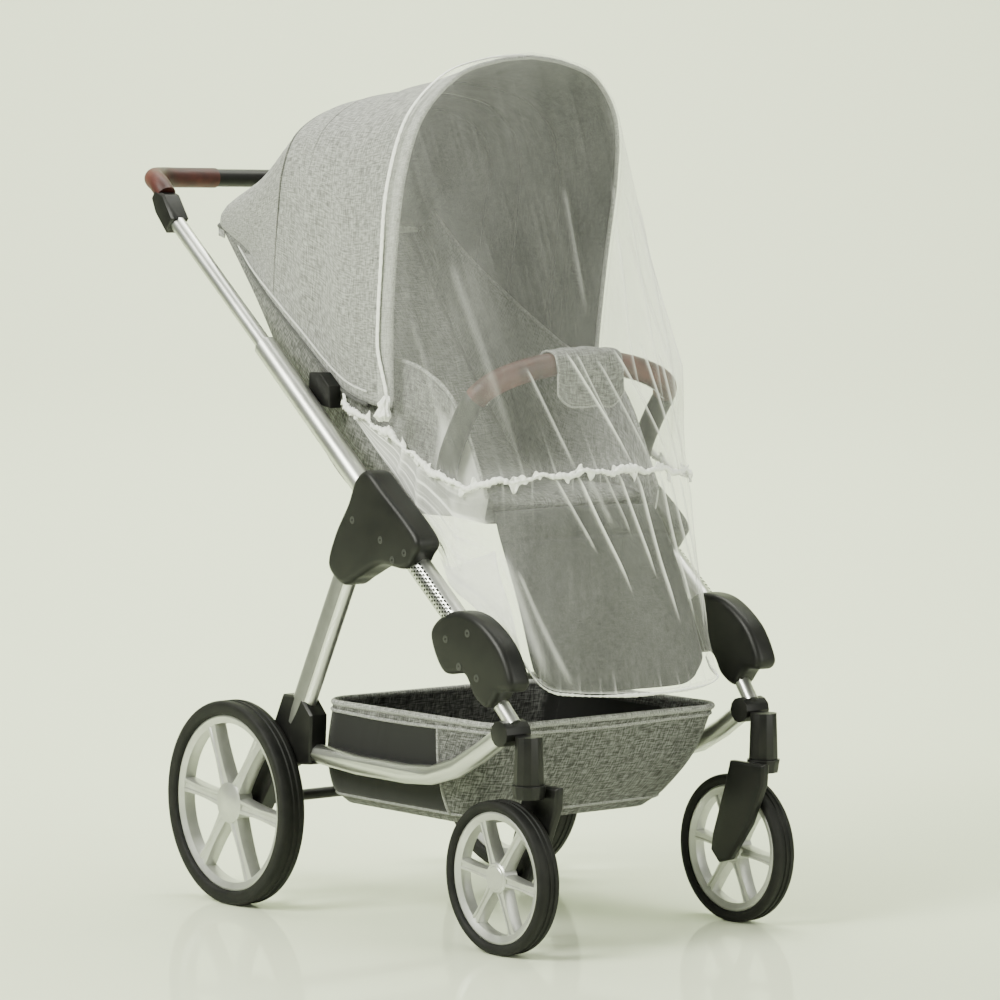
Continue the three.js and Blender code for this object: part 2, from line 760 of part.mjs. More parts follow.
function knee(side) {
  const outline = [
    [-160, 411], [-196, 440], [-251, 440], [-303, 408], [-330, 366], [-326, 348], [-303, 344],
    [-280, 322], [-252, 334], [-230, 362], [-186, 362],
  ];
  const x0 = side > 0 ? 197 : -232;
  const body = plate(outline, x0, x0 + 35, 5);
  return cut(body, lowerTubeBody(side, gap), frontLeg(side, gap));
}

function frontLeg(side, grow = 0) {
  return tube(vec(side * 214, -262, 352), vec(side * 207, -306, 302), 10.5 + grow);
}

function floorTube(side, grow = 0) {
  return bar([
    vec(side * lowerTubeX, 132, 224),
    vec(side * lowerTubeX, 40, 217),
    vec(side * lowerTubeX, -110, 217),
    vec(side * lowerTubeX, -172, 226),
    vec(side * lowerTubeX, -230, 252),
    vec(side * (lowerTubeX - 4), -292, 290),
  ], 13.5 + grow, 8);
}

function rearBracket(side) {
  const outline = [
    [108, 276], [132, 300], [176, 300], [196, 262], [236, 204], [278, 160], [282, 128], [262, 120],
    [238, 128], [196, 186], [160, 204], [112, 208],
  ];
  const x0 = side > 0 ? 198.6 : -227.6;
  const body = plate(outline, x0, x0 + 29, 3);
  return cut(body, legTube(side, gap), floorTube(side, gap), rearAxle(gap));
}

function rearAxle(grow = 0) {
  const reach = rearWheel.x + rearWheel.rimWidth / 2 - 6 + grow;
  const [from, to] = [-reach, reach].map((x) => vec(x, rearWheel.y, hubHeight(rearWheel)));
  return tube(from, to, 8 + grow, 12);
}

// The wheels stand on a flat facet of their tread
function hubHeight(wheel) {
  return wheel.radius * Math.cos(Math.PI / wheelSegments);
}

const casterX = 204;
const casterY = -334;

function caster(side) {
  const head = new THREE.CylinderGeometry(18, 20, 62, 12);
  head.rotateX(Math.PI / 2);
  head.translate(side * casterX, casterY, 258);
  const cap = new THREE.CylinderGeometry(17, 17, 40, 12);
  cap.rotateZ(Math.PI / 2);
  cap.translate(side * (casterX + 4), casterY + 32, 291);
  return cut(joined(head, cap), frontLeg(side, gap), floorTube(side, gap));
}

function fork(side) {
  const inner = frontWheel.x - frontWheel.width / 2;
  const outline = [
    [-368, 224], [-300, 224], [-290, 190], [-266, 122], [-262, 98], [-278, 82], [-300, 88],
    [-340, 140], [-366, 196],
  ];
  const x0 = side > 0 ? inner - 17 : -(inner - 3);
  const arm = plate(outline, x0, x0 + 14, 3);
  const crown = new THREE.CylinderGeometry(23, 20, 18, 12);
  crown.rotateX(Math.PI / 2);
  crown.translate(side * casterX, casterY, 217.7);
  const pin = frontPin(side, gap);
  return cut(joined(crown, arm), pin);
}

function frontPin(side, grow = 0) {
  const from = frontWheel.x - frontWheel.width / 2 - 13 - grow;
  const to = frontWheel.x + 4 + grow;
  const z = hubHeight(frontWheel);
  return tube(vec(side * from, frontWheel.y, z), vec(side * to, frontWheel.y, z), 6 + grow, 12);
}

// Tyre section: half widths and heights over the rim seat
function tyre(wheel, side) {
  const half = wheel.width / 2;
  const seat = wheel.radius * 0.86;
  const r = wheel.radius;
  const profile = [
    [seat, -half * 0.7], [seat + 3, -half * 0.95], [r - 7, -half], [r - 2, -half * 0.72], [r, -half * 0.36],
    [r, half * 0.36], [r - 2, half * 0.72], [r - 7, half], [seat + 3, half * 0.95], [seat, half * 0.7],
    [seat, -half * 0.7],
  ];
  const geometry = new THREE.LatheGeometry(profile.map(([x, y]) => new THREE.Vector2(x, y)), wheelSegments);
  geometry.rotateZ(Math.PI / 2);
  geometry.rotateX(Math.PI / wheelSegments);
  geometry.translate(side * wheel.x, wheel.y, hubHeight(wheel));
  return geometry;
}

// Rim with six spokes
function rim(wheel, side, bore) {
  const outer = wheel.radius * 0.86 - gap * 1.05;
  const windowOuter = outer - 11;
  const hubRadius = wheel.radius * 0.2;
  const spokeHalf = wheel.radius * 0.062;
  const shape = new THREE.Shape();
  for (let i = 0; i <= wheelSegments; i += 1) {
    const turn = Math.PI * 2 * i / wheelSegments;
    const point = [Math.cos(turn) * outer, Math.sin(turn) * outer];
    if (i === 0) shape.moveTo(...point);
    else shape.lineTo(...point);
  }
  for (let k = 0; k < 6; k += 1) {
    const middle = Math.PI * 2 * (k + 0.5) / 6;
    const hole = new THREE.Path();
    const outerReach = Math.PI / 6 - Math.asin(spokeHalf / windowOuter);
    const innerReach = Math.PI / 6 - Math.asin(spokeHalf / hubRadius);
    const points = [];
    for (let i = 0; i <= 5; i += 1) {
      const turn = middle - outerReach + 2 * outerReach * i / 5;
      points.push(new THREE.Vector2(Math.cos(turn) * windowOuter, Math.sin(turn) * windowOuter));
    }
    for (let i = 0; i <= 2; i += 1) {
      const turn = middle + innerReach - 2 * innerReach * i / 2;
      points.push(new THREE.Vector2(Math.cos(turn) * hubRadius, Math.sin(turn) * hubRadius));
    }
    hole.setFromPoints(points);
    shape.holes.push(hole);
  }
  const geometry = new THREE.ExtrudeGeometry(shape, { depth: wheel.rimWidth, bevelEnabled: false });
  geometry.translate(0, 0, -wheel.rimWidth / 2);
  geometry.rotateY(Math.PI / 2);
  geometry.rotateX(Math.PI / wheelSegments);
  geometry.translate(side * wheel.x, wheel.y, hubHeight(wheel));
  return cut(geometry, bore);
}

// The handle runs up from the side tubes and across behind the hood
function handlePoints(side) {
  return [
    vec(side * 219, 466, 988), vec(side * 218, 484, 1003), vec(side * 208, 512, 1012),
    vec(side * 184, 530, 1014), vec(side * 150, 538, 1014), vec(side * 84, 540, 1014),
  ];
}

function handleGrip(side) {
  return bar(handlePoints(side), 14.5, 9);
}

function handleJoint(side) {
  const outline = [[428, 954], [448, 934], [474, 962], [484, 984], [474, 996], [452, 988]];
  const x0 = side > 0 ? 204 : -234;
  return cut(plate(outline, x0, x0 + 30, 3), upperTubeCutter(side), gripCutter(side));
}

function upperTubeCutter(side) {
  return tube(onSide(side, sideTubeX, [450.4, 958.3]), onSide(side, sideTubeX, chassis.collar), 11.5 + gap);
}

function gripCutter(side) {
  return bar([vec(side * 219, 465.4, 987.4), ...handlePoints(side).slice(1)], 14.5 + gap, 9);
}

function handleAdjuster() {
  return tube(vec(-83.1, 540, 1014), vec(83.1, 540, 1014), 13, 12);
}

// The open basket: rounded rectangles from the rim down, outside then inside
const basketRings = [
  { z: 292, front: -268, back: 130, half: 198 },
  { z: 226, front: -234, back: 148, half: 198 },
  { z: 172, front: -188, back: 154, half: 182 },
  { z: 152, front: -168, back: 146, half: 162 },
];

function basketRing(row, inset, z) {
  const points = [];
  const corner = 46;
  const half = row.half - inset;
  const front = row.front + inset;
  const back = row.back - inset;
  const corners = [
    [half - corner, back - corner, 0], [-half + corner, back - corner, 90],
    [-half + corner, front + corner, 180], [half - corner, front + corner, 270],
  ];
  for (const [x, y, start] of corners) {
    for (let k = 0; k <= 3; k += 1) {
      const turn = THREE.MathUtils.degToRad(start + 30 * k);
      points.push(vec(x + Math.cos(turn) * corner, y + Math.sin(turn) * corner, z));
    }
  }
  return points;
}

function basket() {
  const thick = hoodThick;
  const outside = basketRings.map((row) => basketRing(row, 0, row.z)).reverse();
  const inside = basketRings.map((row, i) => basketRing(row, thick, i === 3 ? row.z + thick : row.z));
  return loft([...outside, ...inside]);
}

// The hood hinge fills the space between the hood and the side tube
function hoodHinge(side) {
  const outline = [[98, 696], [128, 700], [148, 722], [146, 744], [122, 744], [100, 726]];
  const inner = 181.7;
  const outer = sideTubeX - 16.5 - gap * 2.2;
  return side > 0 ? plate(outline, inner, outer, 1) : plate(outline, -outer, -inner, 1);
}

function seatMount(side) {
  return tube(vec(side * 157.9, 6, 578), vec(side * 198.7, 6, 578), 17, 10);
}

const palette = {
  net: [0xf4f4ee, 0.9, 0],
  elastic: [0xfafaf4, 0.85, 0],
  hood: [0xa3a5a0, 0.95, 0],
  seat: [0x8a8c89, 0.95, 0],
  leg: [0x5d5f5e, 0.95, 0],
  leather: [0x7a3f28, 0.6, 0],
  aluminium: [0xc8cac4, 0.35, 0.9],
  plastic: [0x1e1e1e, 0.55, 0],
  rubber: [0x222222, 0.85, 0],
  rim: [0xb9bbb4, 0.5, 0.1],
  basket: [0x6c6e6c, 0.95, 0],
};

const part = new THREE.Group();
part.name = "stroller_mosquito_net";

function add(name, geometry, paint) {
  const [color, roughness, metalness] = palette[paint];
  const material = new THREE.MeshStandardMaterial({ color, roughness, metalness });
  const mesh = new THREE.Mesh(geometry, material);
  mesh.name = name;
  part.add(mesh);
}

function addPair(name, build, paint) {
  add(`${name}_near`, build(-1), paint);
  add(`${name}_far`, build(1), paint);
}

add("net_upper", netUpper(), "net");
add("net_lower", netLower(), "net");
add("waist_ruffle", waistRuffle(-1.28, 1.28), "elastic");
add("hood_binding", hoodBinding(), "elastic");
add("hem_elastic", hemElastic(-0.5, 0.5), "elastic");
addPair("corner_bunch", cornerBunch, "elastic");
add("hood_shell", hoodShell(), "hood");
add("seat_shell", seatShell(), "seat");
add("seat_liner", seatLiner(), "seat");
add("leg_rest", legRest(), "leg");
add("bumper_bar", bumperBar(), "leather");
add("bumper_cover", bumperCover(), "hood");
addPair("bumper_elbow", elbow, "plastic");
addPair("handle_tube", upperTube, "aluminium");
addPair("side_tube", (side) => lowerTubeBody(side), "aluminium");
addPair("frame_hub", hub, "plastic");
addPair("rear_leg", (side) => legTube(side), "aluminium");
addPair("frame_knee", knee, "plastic");
addPair("front_leg", (side) => frontLeg(side), "aluminium");
addPair("floor_tube", (side) => floorTube(side), "aluminium");
addPair("rear_bracket", rearBracket, "plastic");
add("rear_axle", rearAxle(), "plastic");
addPair("caster_head", caster, "plastic");
addPair("caster_fork", fork, "plastic");
addPair("front_pin", (side) => frontPin(side), "plastic");
addPair("tyre_rear", (side) => tyre(rearWheel, side), "rubber");
addPair("rim_rear", (side) => rim(rearWheel, side, rearAxle(gap)), "rim");
addPair("tyre_front", (side) => tyre(frontWheel, side), "rubber");
addPair("rim_front", (side) => rim(frontWheel, side, frontPin(side, gap)), "rim");
addPair("handle_grip", handleGrip, "leather");
addPair("handle_joint", handleJoint, "plastic");
add("handle_adjuster", handleAdjuster(), "plastic");
add("basket", basket(), "basket");
addPair("seat_mount", seatMount, "plastic");
addPair("hood_hinge", hoodHinge, "plastic");

// The frame starts on the floor under the middle of the whole
const reach = new THREE.Box3().setFromObject(part);
const middle = reach.getCenter(new THREE.Vector3());
for (const mesh of part.children) mesh.position.set(-middle.x, -middle.y, -reach.min.z);

export default part;
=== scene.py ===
import math

import bmesh
import bpy
import numpy as np
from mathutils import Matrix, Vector


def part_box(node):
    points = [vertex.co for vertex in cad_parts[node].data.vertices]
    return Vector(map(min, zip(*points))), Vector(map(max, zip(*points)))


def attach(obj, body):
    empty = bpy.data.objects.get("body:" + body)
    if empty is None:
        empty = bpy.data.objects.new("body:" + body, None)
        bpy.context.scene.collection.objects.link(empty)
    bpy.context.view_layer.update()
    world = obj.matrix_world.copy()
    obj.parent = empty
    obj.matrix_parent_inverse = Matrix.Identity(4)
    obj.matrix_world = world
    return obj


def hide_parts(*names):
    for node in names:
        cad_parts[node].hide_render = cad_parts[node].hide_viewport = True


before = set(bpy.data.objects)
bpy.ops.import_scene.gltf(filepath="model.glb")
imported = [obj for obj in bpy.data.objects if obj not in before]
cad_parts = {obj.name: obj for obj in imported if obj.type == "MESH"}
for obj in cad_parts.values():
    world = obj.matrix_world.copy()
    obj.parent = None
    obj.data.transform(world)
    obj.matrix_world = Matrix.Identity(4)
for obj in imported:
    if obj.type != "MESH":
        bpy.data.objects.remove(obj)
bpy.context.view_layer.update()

# The tables below are in mm, with y counted from the middle of the wheelbase.
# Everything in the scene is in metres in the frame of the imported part, and so is SHEET,
# the thickness that most cloth is shown with. The near side is at -X.
REAR_WHEEL = {"x": 247, "y": 262, "radius": 143, "width": 38, "rim": 24}
FRONT_WHEEL = {"x": 205, "y": -280, "radius": 101, "width": 33, "rim": 22}
WHEEL_FACETS = 24
REAR_TYRE_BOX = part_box("tyre_rear_near")
SHIFT_Y = REAR_WHEEL["y"] - 500 * (REAR_TYRE_BOX[0].y + REAR_TYRE_BOX[1].y)

NET_THICK = 1.5
HOOD_THICK = 3.0
CLOTH_CLEAR = 2.0
GAP = 0.3
SHEET = 0.0026
HOOD_LENGTH = 420
BINDING_SET_BACK = 26 / HOOD_LENGTH
BAR_RADIUS = 16
SIDES = ((-1, "near"), (1, "far"))
WORD = dict(SIDES)


def to_frame(places):
    """Places in the tables' mm as places in metres in the frame."""
    return (np.asarray(places, float) - np.array([0, SHIFT_Y, 0])) / 1000


# Tables and how they are read

def table(names, rows):
    data = np.array(rows, float)
    return {name: data[:, i] for i, name in enumerate(names.split())}


def read(tab, key, at):
    """Smooth reading of every column of a table at places along one column."""
    at = np.asarray(at, float)
    steps = tab[key]
    last = len(steps) - 1
    i = np.clip(np.searchsorted(steps, at, side="right") - 1, 0, last - 1)
    before, after = np.maximum(i - 1, 0), np.minimum(i + 2, last)
    span = steps[i + 1] - steps[i]
    t = np.clip((at - steps[i]) / span, 0, 1)
    t2, t3 = t * t, t * t * t
    row = {}
    for name, v in tab.items():
        plain = (v[i + 1] - v[i]) / span
        into = np.where(i == 0, plain, (v[i + 1] - v[before]) / (steps[i + 1] - steps[before]))
        leave = np.where(i + 1 == last, plain, (v[after] - v[i]) / (steps[after] - steps[i]))
        row[name] = (
            (2 * t3 - 3 * t2 + 1) * v[i]
            + (t3 - 2 * t2 + t) * into * span
            + (3 * t2 - 2 * t3) * v[i + 1]
            + (t3 - t2) * leave * span
        )
    return row


def points(x, y, z):
    x, y, z = np.broadcast_arrays(x, y, z)
    return np.stack([x, y, z], -1).astype(float)


def unit(v):
    return v / np.maximum(np.linalg.norm(v, axis=-1, keepdims=True), 1e-9)


def smooth(x, a, b):
    t = np.clip((x - a) / (b - a), 0, 1)
    return t * t * (3 - 2 * t)


def waves(at, *terms):
    """Uneven ripple: a sum of sines, each (frequency, phase, share)."""
    return sum(share * np.sin(at * frequency + phase) for frequency, phase, share in terms)


def bell(x, width):
    return np.exp(-((x / width) ** 2))


def full_turn(count):
    return np.linspace(0, 2 * np.pi, count, endpoint=False)


def run_of(path):
    """Length from the start of a path to each of its points."""
    return np.concatenate([[0], np.cumsum(np.linalg.norm(np.diff(path, axis=0), axis=1))])


# The hood: its bows from the front rim to the rear edge, and their half profile

BOW = table("across side rise", [
    (0.0, 0.0, 1.0), (0.14, 0.32, 0.985), (0.28, 0.65, 0.94), (0.42, 0.91, 0.825),
    (0.56, 1.0, 0.655), (0.7, 1.0, 0.45), (0.85, 0.98, 0.21), (1.0, 0.95, 0.0),
])
HOOD_BOWS = table("along half base_y base_z top_y top_z lean", [
    (0.0, 185, -8, 700, -88, 1171, 1.8), (0.12, 187, 36, 703, -42, 1161, 1.5),
    (0.33, 189, 100, 724, 62, 1143, 1.2), (0.6, 188, 196, 790, 146, 1131, 1.0),
    (0.78, 184, 266, 837, 212, 1118, 1.0), (0.9, 180, 322, 880, 300, 1042, 1.0),
    (0.96, 178, 356, 918, 397, 988, 1.0), (1.0, 177, 374, 938, 402, 950, 1.0),
])


def hood_point(along, across):
    along, across = np.broadcast_arrays(np.asarray(along, float), np.asarray(across, float))
    bow = read(HOOD_BOWS, "along", along)
    profile = read(BOW, "across", np.abs(across))
    back = np.maximum(profile["rise"], 0) ** bow["lean"]
    return points(
        np.sign(across) * bow["half"] * profile["side"],
        bow["base_y"] + (bow["top_y"] - bow["base_y"]) * back,
        bow["base_z"] + (bow["top_z"] - bow["base_z"]) * profile["rise"],
    )


def hood_out(along, across, step=0.01):
    left = hood_point(along, np.maximum(across - step, -1))
    right = hood_point(along, np.minimum(across + step, 1))
    front = hood_point(np.maximum(along - step, 0), across)
    back = hood_point(np.minimum(along + step, 1), across)
    return unit(np.cross(right - left, back - front))


# The net: where it passes the bumper bar, the waist elastic and the hem,
# from the middle of its front (0) to the side corners (1) and on behind them

STATIONS = table("across bar_x bar_y bar_z waist_x waist_y waist_z", [
    (0.0, 0, -228, 780, 0, -268, 621), (0.14, 55, -227, 778, 55, -264, 620),
    (0.28, 108, -222, 772, 108, -250, 616), (0.44, 162, -208, 756, 160, -224, 610),
    (0.58, 192, -160, 744, 191, -182, 604), (0.72, 195, -100, 730, 194, -122, 622),
    (0.86, 195, -56, 710, 194, -72, 646), (1.0, 193, -22, 692, 193, -26, 668),
])
WAIST_BACK = table("across x y z", [
    (1.0, 193, -26, 668), (1.1, 193, 8, 678), (1.2, 192, 46, 692), (1.3, 189, 84, 707),
])
HEM = table("across x y z", [
    (-1.3, -189, 66, 690), (-1.15, -192, 9, 645), (-1.0, -193, -48, 600), (-0.86, -194, -94, 548),
    (-0.72, -194, -142, 506), (-0.64, -193, -160, 470), (-0.54, -189, -200, 446),
    (-0.44, -174, -258, 404), (-0.33, -152, -296, 350), (-0.2, -105, -310, 336),
    (0.0, 0, -318, 330), (0.2, 100, -314, 332), (0.34, 152, -298, 340), (0.46, 162, -270, 354),
    (0.6, 174, -230, 404), (0.72, 186, -176, 474), (0.86, 193, -106, 542), (1.0, 193, -48, 600),
    (1.15, 192, 9, 645), (1.3, 189, 66, 690),
])
LEAN_AT_WAIST = 0.1
BAR_DOWN = 0.74
NET_LIFT = HOOD_THICK / 2 + CLOTH_CLEAR + NET_THICK / 2 + 2
NET_PRESSED = HOOD_THICK / 2 + NET_THICK / 2 + GAP * 1.5

# Sharp creases of the net: place across and down where each starts and ends,
# how high it stands, how wide it is to each side, and how dense it makes the net
UPPER_CREASES = [
    (0.006, 0.34, -0.017, 0.66, 2.0, 5, 0.12),
    (-0.315, 0.76, -0.258, 1.0, 4.0, 2.6, 0.42),
    (-0.141, 0.742, -0.019, 1.0, 5.0, 2.4, 0.8),
    (-0.099, 0.745, -0.055, 0.92, 3.0, 2.2, 0.5),
    (-0.019, 0.762, 0.075, 1.0, 4.0, 2.6, 0.45),
    (0.068, 0.74, 0.205, 0.99, 4.0, 2.6, 0.7),
    (0.235, 0.3, 0.148, 0.7, 3.0, 3.6, 0.22),
    (0.2, 0.42, 0.119, 0.9, 3.0, 3.0, 0.32),
    (0.2, 0.72, 0.262, 1.0, 4.0, 2.6, 0.7),
    (0.3, 0.3, 0.25, 0.9, 4.0, 4.0, 0.3),
    (0.29, 0.74, 0.33, 1.0, 4.0, 3.0, 0.6),
    (0.39, 0.25, 0.34, 0.95, 4.0, 4.5, 0.34),
    (0.5, 0.15, 0.47, 0.97, 4.0, 4.5, 0.3),
    (0.6, 0.15, 0.58, 0.97, 3.0, 5.0, 0.24),
    (-0.47, 0.4, -0.44, 0.98, 2.5, 8, 0.1),
    (-0.7, 0.35, -0.66, 0.96, 2.5, 8, 0.08),
]
LOWER_CREASES = [
    (-0.25, 0.0, -0.096, 0.38, 5.0, 2.6, 0.5),
    (-0.166, 0.0, 0.024, 0.56, 6.0, 2.6, 0.9),
    (-0.12, 0.02, -0.03, 0.26, 3.0, 6, 0.22),
    (-0.06, 0.0, 0.04, 0.3, 4.0, 2.6, 0.35),
    (0.0, 0.0, 0.13, 0.5, 5.0, 2.6, 0.85),
    (0.082, 0.0, 0.196, 0.72, 6.0, 2.6, 0.9),
    (0.204, 0.0, 0.273, 0.72, 5.0, 2.8, 0.75),
    (0.26, 0.0, 0.348, 0.66, 5.0, 3.2, 0.6),
    (0.34, 0.0, 0.4, 0.85, 5.0, 4.0, 0.45),
    (0.45, 0.0, 0.48, 0.9, 5.0, 5.0, 0.3),
    (-0.46, 0.46, -0.3, 1.0, 7.0, 16, 0.3),
    (-0.4, 0.5, -0.2, 1.0, 4.0, 7, 0.3),
    (-0.62, 0.1, -0.6, 0.9, 5.0, 12, 0.15),
    (-0.8, 0.05, -0.86, 0.9, 5.0, 10, 0.2),
    (-0.9, 0.02, -1.0, 0.85, 4.0, 7, 0.3),
]


def station(across, name):
    row = read(STATIONS, "across", np.abs(across))
    return points(np.sign(across) * row[name + "_x"], row[name + "_y"], row[name + "_z"])


def leaned(across, lean):
    return across + lean * (1 - across * across)


def waist_out(across, step=0.01):
    """Direction out of the waist line, level."""
    across = np.clip(across, -1, 1)
    before = station(np.maximum(across - step, -1), "waist")
    after = station(np.minimum(across + step, 1), "waist")
    run = after - before
    return unit(points(run[..., 1], -run[..., 0], 0 * run[..., 0]))


def lift_on_hood(across):
    return NET_LIFT + (NET_PRESSED - NET_LIFT) * smooth(np.abs(across), 0.6, 0.76)


def net_on_hood(along, across):
    return hood_point(along, across) + hood_out(along, across) * lift_on_hood(across)[..., None]


def net_rim(across):
    out = hood_out(0 * across, across)
    return hood_point(0 * across, across) + out * NET_LIFT + np.array([0, -CLOTH_CLEAR - NET_THICK, 0])


def upper_point(across, down):
    rim = net_rim(across)
    bar = station(across, "bar")
    waist = station(leaned(across, LEAN_AT_WAIST), "waist") + np.array([0, 0, NET_THICK / 2 + GAP])
    to_bar = np.clip(down / BAR_DOWN, 0, 1)[..., None]
    to_waist = np.clip((down - BAR_DOWN) / (1 - BAR_DOWN), 0, 1)[..., None]
    place = np.where(down[..., None] < BAR_DOWN, rim + (bar - rim) * to_bar, bar + (waist - bar) * to_waist)
    sag = np.sin(np.pi * np.minimum(down / BAR_DOWN, 1)) * 4 * np.abs(across)
    return place - waist_out(leaned(across, LEAN_AT_WAIST)) * sag[..., None]


def waist_point(across):
    row = read(WAIST_BACK, "across", np.abs(across))
    back = points(np.sign(across) * row["x"], row["y"], row["z"])
    return np.where((np.abs(across) <= 1)[..., None], station(across, "waist"), back)


def hem_point(across):
    row = read(HEM, "across", across)
    return points(row["x"], row["y"], row["z"])


def lower_point(across, down):
    waist = waist_point(across) - np.array([0, 0, NET_THICK / 2 + GAP])
    place = waist + (hem_point(across) - waist) * down[..., None]
    sag = np.sin(np.pi * down) * 7 * np.clip(1 - np.abs(across), 0, 1)
    return place - waist_out(across) * sag[..., None]


def crease_fields(creases, across, down, size):
    """Lift and density that creases give at places on a net panel, whose size is in mm."""
    lift, density = np.zeros_like(across), np.zeros_like(across)
    for a0, d0, a1, d1, height, width, dense in creases:
        run = np.array([(a1 - a0) * size[0], (d1 - d0) * size[1]])
        length = np.hypot(*run)
        x, y = (across - a0) * size[0], (down - d0) * size[1]
        t = (x * run[0] + y * run[1]) / length**2
        off = np.abs(x * run[1] - y * run[0]) / length / width
        fade = smooth(t, -0.04, 0.12) * (1 - smooth(t, 0.72, 1.04))
        lift += height * fade * np.exp(-off * off * 0.8)
        density = np.maximum(density, dense * fade * np.exp(-off * off * 1.6))
    return lift, density


# Making meshes

RING_UV = 0.05
CORD_SIDES = 10


def add_object(name, data):
    obj = bpy.data.objects.new(name, data)
    bpy.context.scene.collection.objects.link(obj)
    return obj


def grid_faces(rows, cols, around=False, closed=False):
    """Faces of a grid of points that may close on itself along its columns and its rows."""
    faces = []
    for i in range(rows if closed else rows - 1):
        for j in range(cols if around else cols - 1):
            here, below, k = i * cols, (i + 1) % rows * cols, (j + 1) % cols
            faces.append((here + j, here + k, below + k, below + j))
    return faces


def thread_uvs(grid, across=None):
    """UVs in metres along the middle of a grid of points, both ways."""
    if across is None:
        across = run_of(np.median(grid, axis=0))
    return np.stack(np.meshgrid(across, run_of(np.median(grid, axis=1))), -1)


def mesh_object(name, verts, faces, angle, uvs=None, attributes=None, material=None, solid=True):
    """An object from points and faces, smooth but where faces meet at more than an angle."""
    mesh = bpy.data.meshes.new(name)
    mesh.from_pydata(np.reshape(verts, (-1, 3)).tolist(), [], faces)
    if uvs is not None:
        at = np.zeros(len(mesh.loops), np.int32)
        mesh.loops.foreach_get("vertex_index", at)
        layer = mesh.uv_layers.new(name="cloth")
        layer.data.foreach_set("uv", np.reshape(uvs, (-1, 2))[at].astype(np.float32).ravel())
    for key, values in (attributes or {}).items():
        layer = mesh.attributes.new(key, "FLOAT", "POINT")
        layer.data.foreach_set("value", np.asarray(values, np.float32).ravel())
    obj = add_object(name, mesh)
    if solid:
        work = bmesh.new()
        work.from_mesh(mesh)
        bmesh.ops.recalc_face_normals(work, faces=work.faces)
        work.to_mesh(mesh)
        work.free()
    if material:
        mesh.materials.append(material)
    shade_smooth(obj, angle)
    return obj


def shade_smooth(obj, angle):
    for face in obj.data.polygons:
        face.use_smooth = True
    obj.data.set_sharp_from_angle(angle=math.radians(angle))


def grid_object(name, grid, around=False, attributes=None):
    """A surface through rows of points."""
    faces = grid_faces(*grid.shape[:2], around)
    return mesh_object(name, grid, faces, 180, thread_uvs(grid), attributes, solid=False)


def rings_object(name, rings, angle=60, material=None):
    """A closed body through rings of points of equal length, capped at both ends."""
    count, sides = rings.shape[:2]
    faces = grid_faces(count, sides, around=True)
    faces += [tuple(reversed(range(sides))), tuple(range((count - 1) * sides, count * sides))]
    uvs = thread_uvs(rings, np.arange(sides) / sides * RING_UV)
    return mesh_object(name, rings, faces, angle, uvs, material=material)


def thicken(obj, thickness, back_material=0, even=True):
    """Give a surface its cloth thickness, in metres, as real geometry."""
    modifier = obj.modifiers.new("thickness", "SOLIDIFY")
    modifier.thickness = thickness
    modifier.offset = 0.0
    modifier.use_even_offset = even
    modifier.material_offset = back_material
    apply_modifiers(obj)


def apply_modifiers(obj):
    graph = bpy.context.evaluated_depsgraph_get()
    graph.update()
    mesh = bpy.data.meshes.new_from_object(obj.evaluated_get(graph))
    obj.modifiers.clear()
    old = obj.data
    obj.data = mesh
    mesh.name = obj.name
    bpy.data.meshes.remove(old)


def tube_rings(path, radii, sides=16, squash=1.0, up=(0, 0, 1)):
    """Rings round a path; squash gives the share of the radius across its second axis."""
    path = np.asarray(path, float)
    tangent = unit(np.gradient(path, axis=0))
    radii = np.broadcast_to(np.asarray(radii, float), (len(path),))
    flat = np.broadcast_to(np.asarray(squash, float), (len(path),))
    side = np.cross(tangent, np.array(up, float))
    side = unit(np.where(np.linalg.norm(side, axis=-1, keepdims=True) < 1e-4, [[1, 0, 0]], side))
    return ovals(path, side, np.cross(side, tangent), radii, radii * flat, sides)


def ovals(path, side, top, half_wide, half_high, sides):
    """Ovals round the points of a path, of a half width along side and a half height along top."""
    turn = full_turn(sides)
    return (
        path[:, None]
        + side[:, None] * (np.cos(turn)[None, :, None] * half_wide[:, None, None])
        + top[:, None] * (np.sin(turn)[None, :, None] * half_high[:, None, None])
    )


def catmull(control, count):
    """An even run of points on a smooth curve through control points."""
    control = np.asarray(control, float)
    ends = np.concatenate([[2 * control[0] - control[1]], control, [2 * control[-1] - control[-2]]])
    fine = []
    for i in range(len(control) - 1):
        p0, p1, p2, p3 = ends[i : i + 4]
        t = np.linspace(0, 1, 24, endpoint=False)[:, None]
        fine.append(
            0.5 * (2 * p1 + (p2 - p0) * t + (2 * p0 - 5 * p1 + 4 * p2 - p3) * t**2
                   + (3 * p1 - p0 - 3 * p2 + p3) * t**3)
        )
    fine = np.concatenate([*fine, control[-1:]])
    reach = run_of(fine)
    even = np.linspace(0, reach[-1], count)
    return np.stack([np.interp(even, reach, fine[:, k]) for k in range(3)], -1)


def join(name, parts):
    """Several objects made into one piece, with their own materials kept."""
    work = bmesh.new()
    slots = []
    for part in parts:
        used = part.data.materials[0] if part.data.materials else None
        if used not in slots:
            slots.append(used)
        before = len(work.faces)
        work.from_mesh(part.data)
        work.faces.ensure_lookup_table()
        for face in work.faces[before:]:
            face.material_index = slots.index(used)
        bpy.data.objects.remove(part)
    mesh = bpy.data.meshes.new(name)
    work.to_mesh(mesh)
    work.free()
    for used in slots:
        mesh.materials.append(used)
    return add_object(name, mesh)


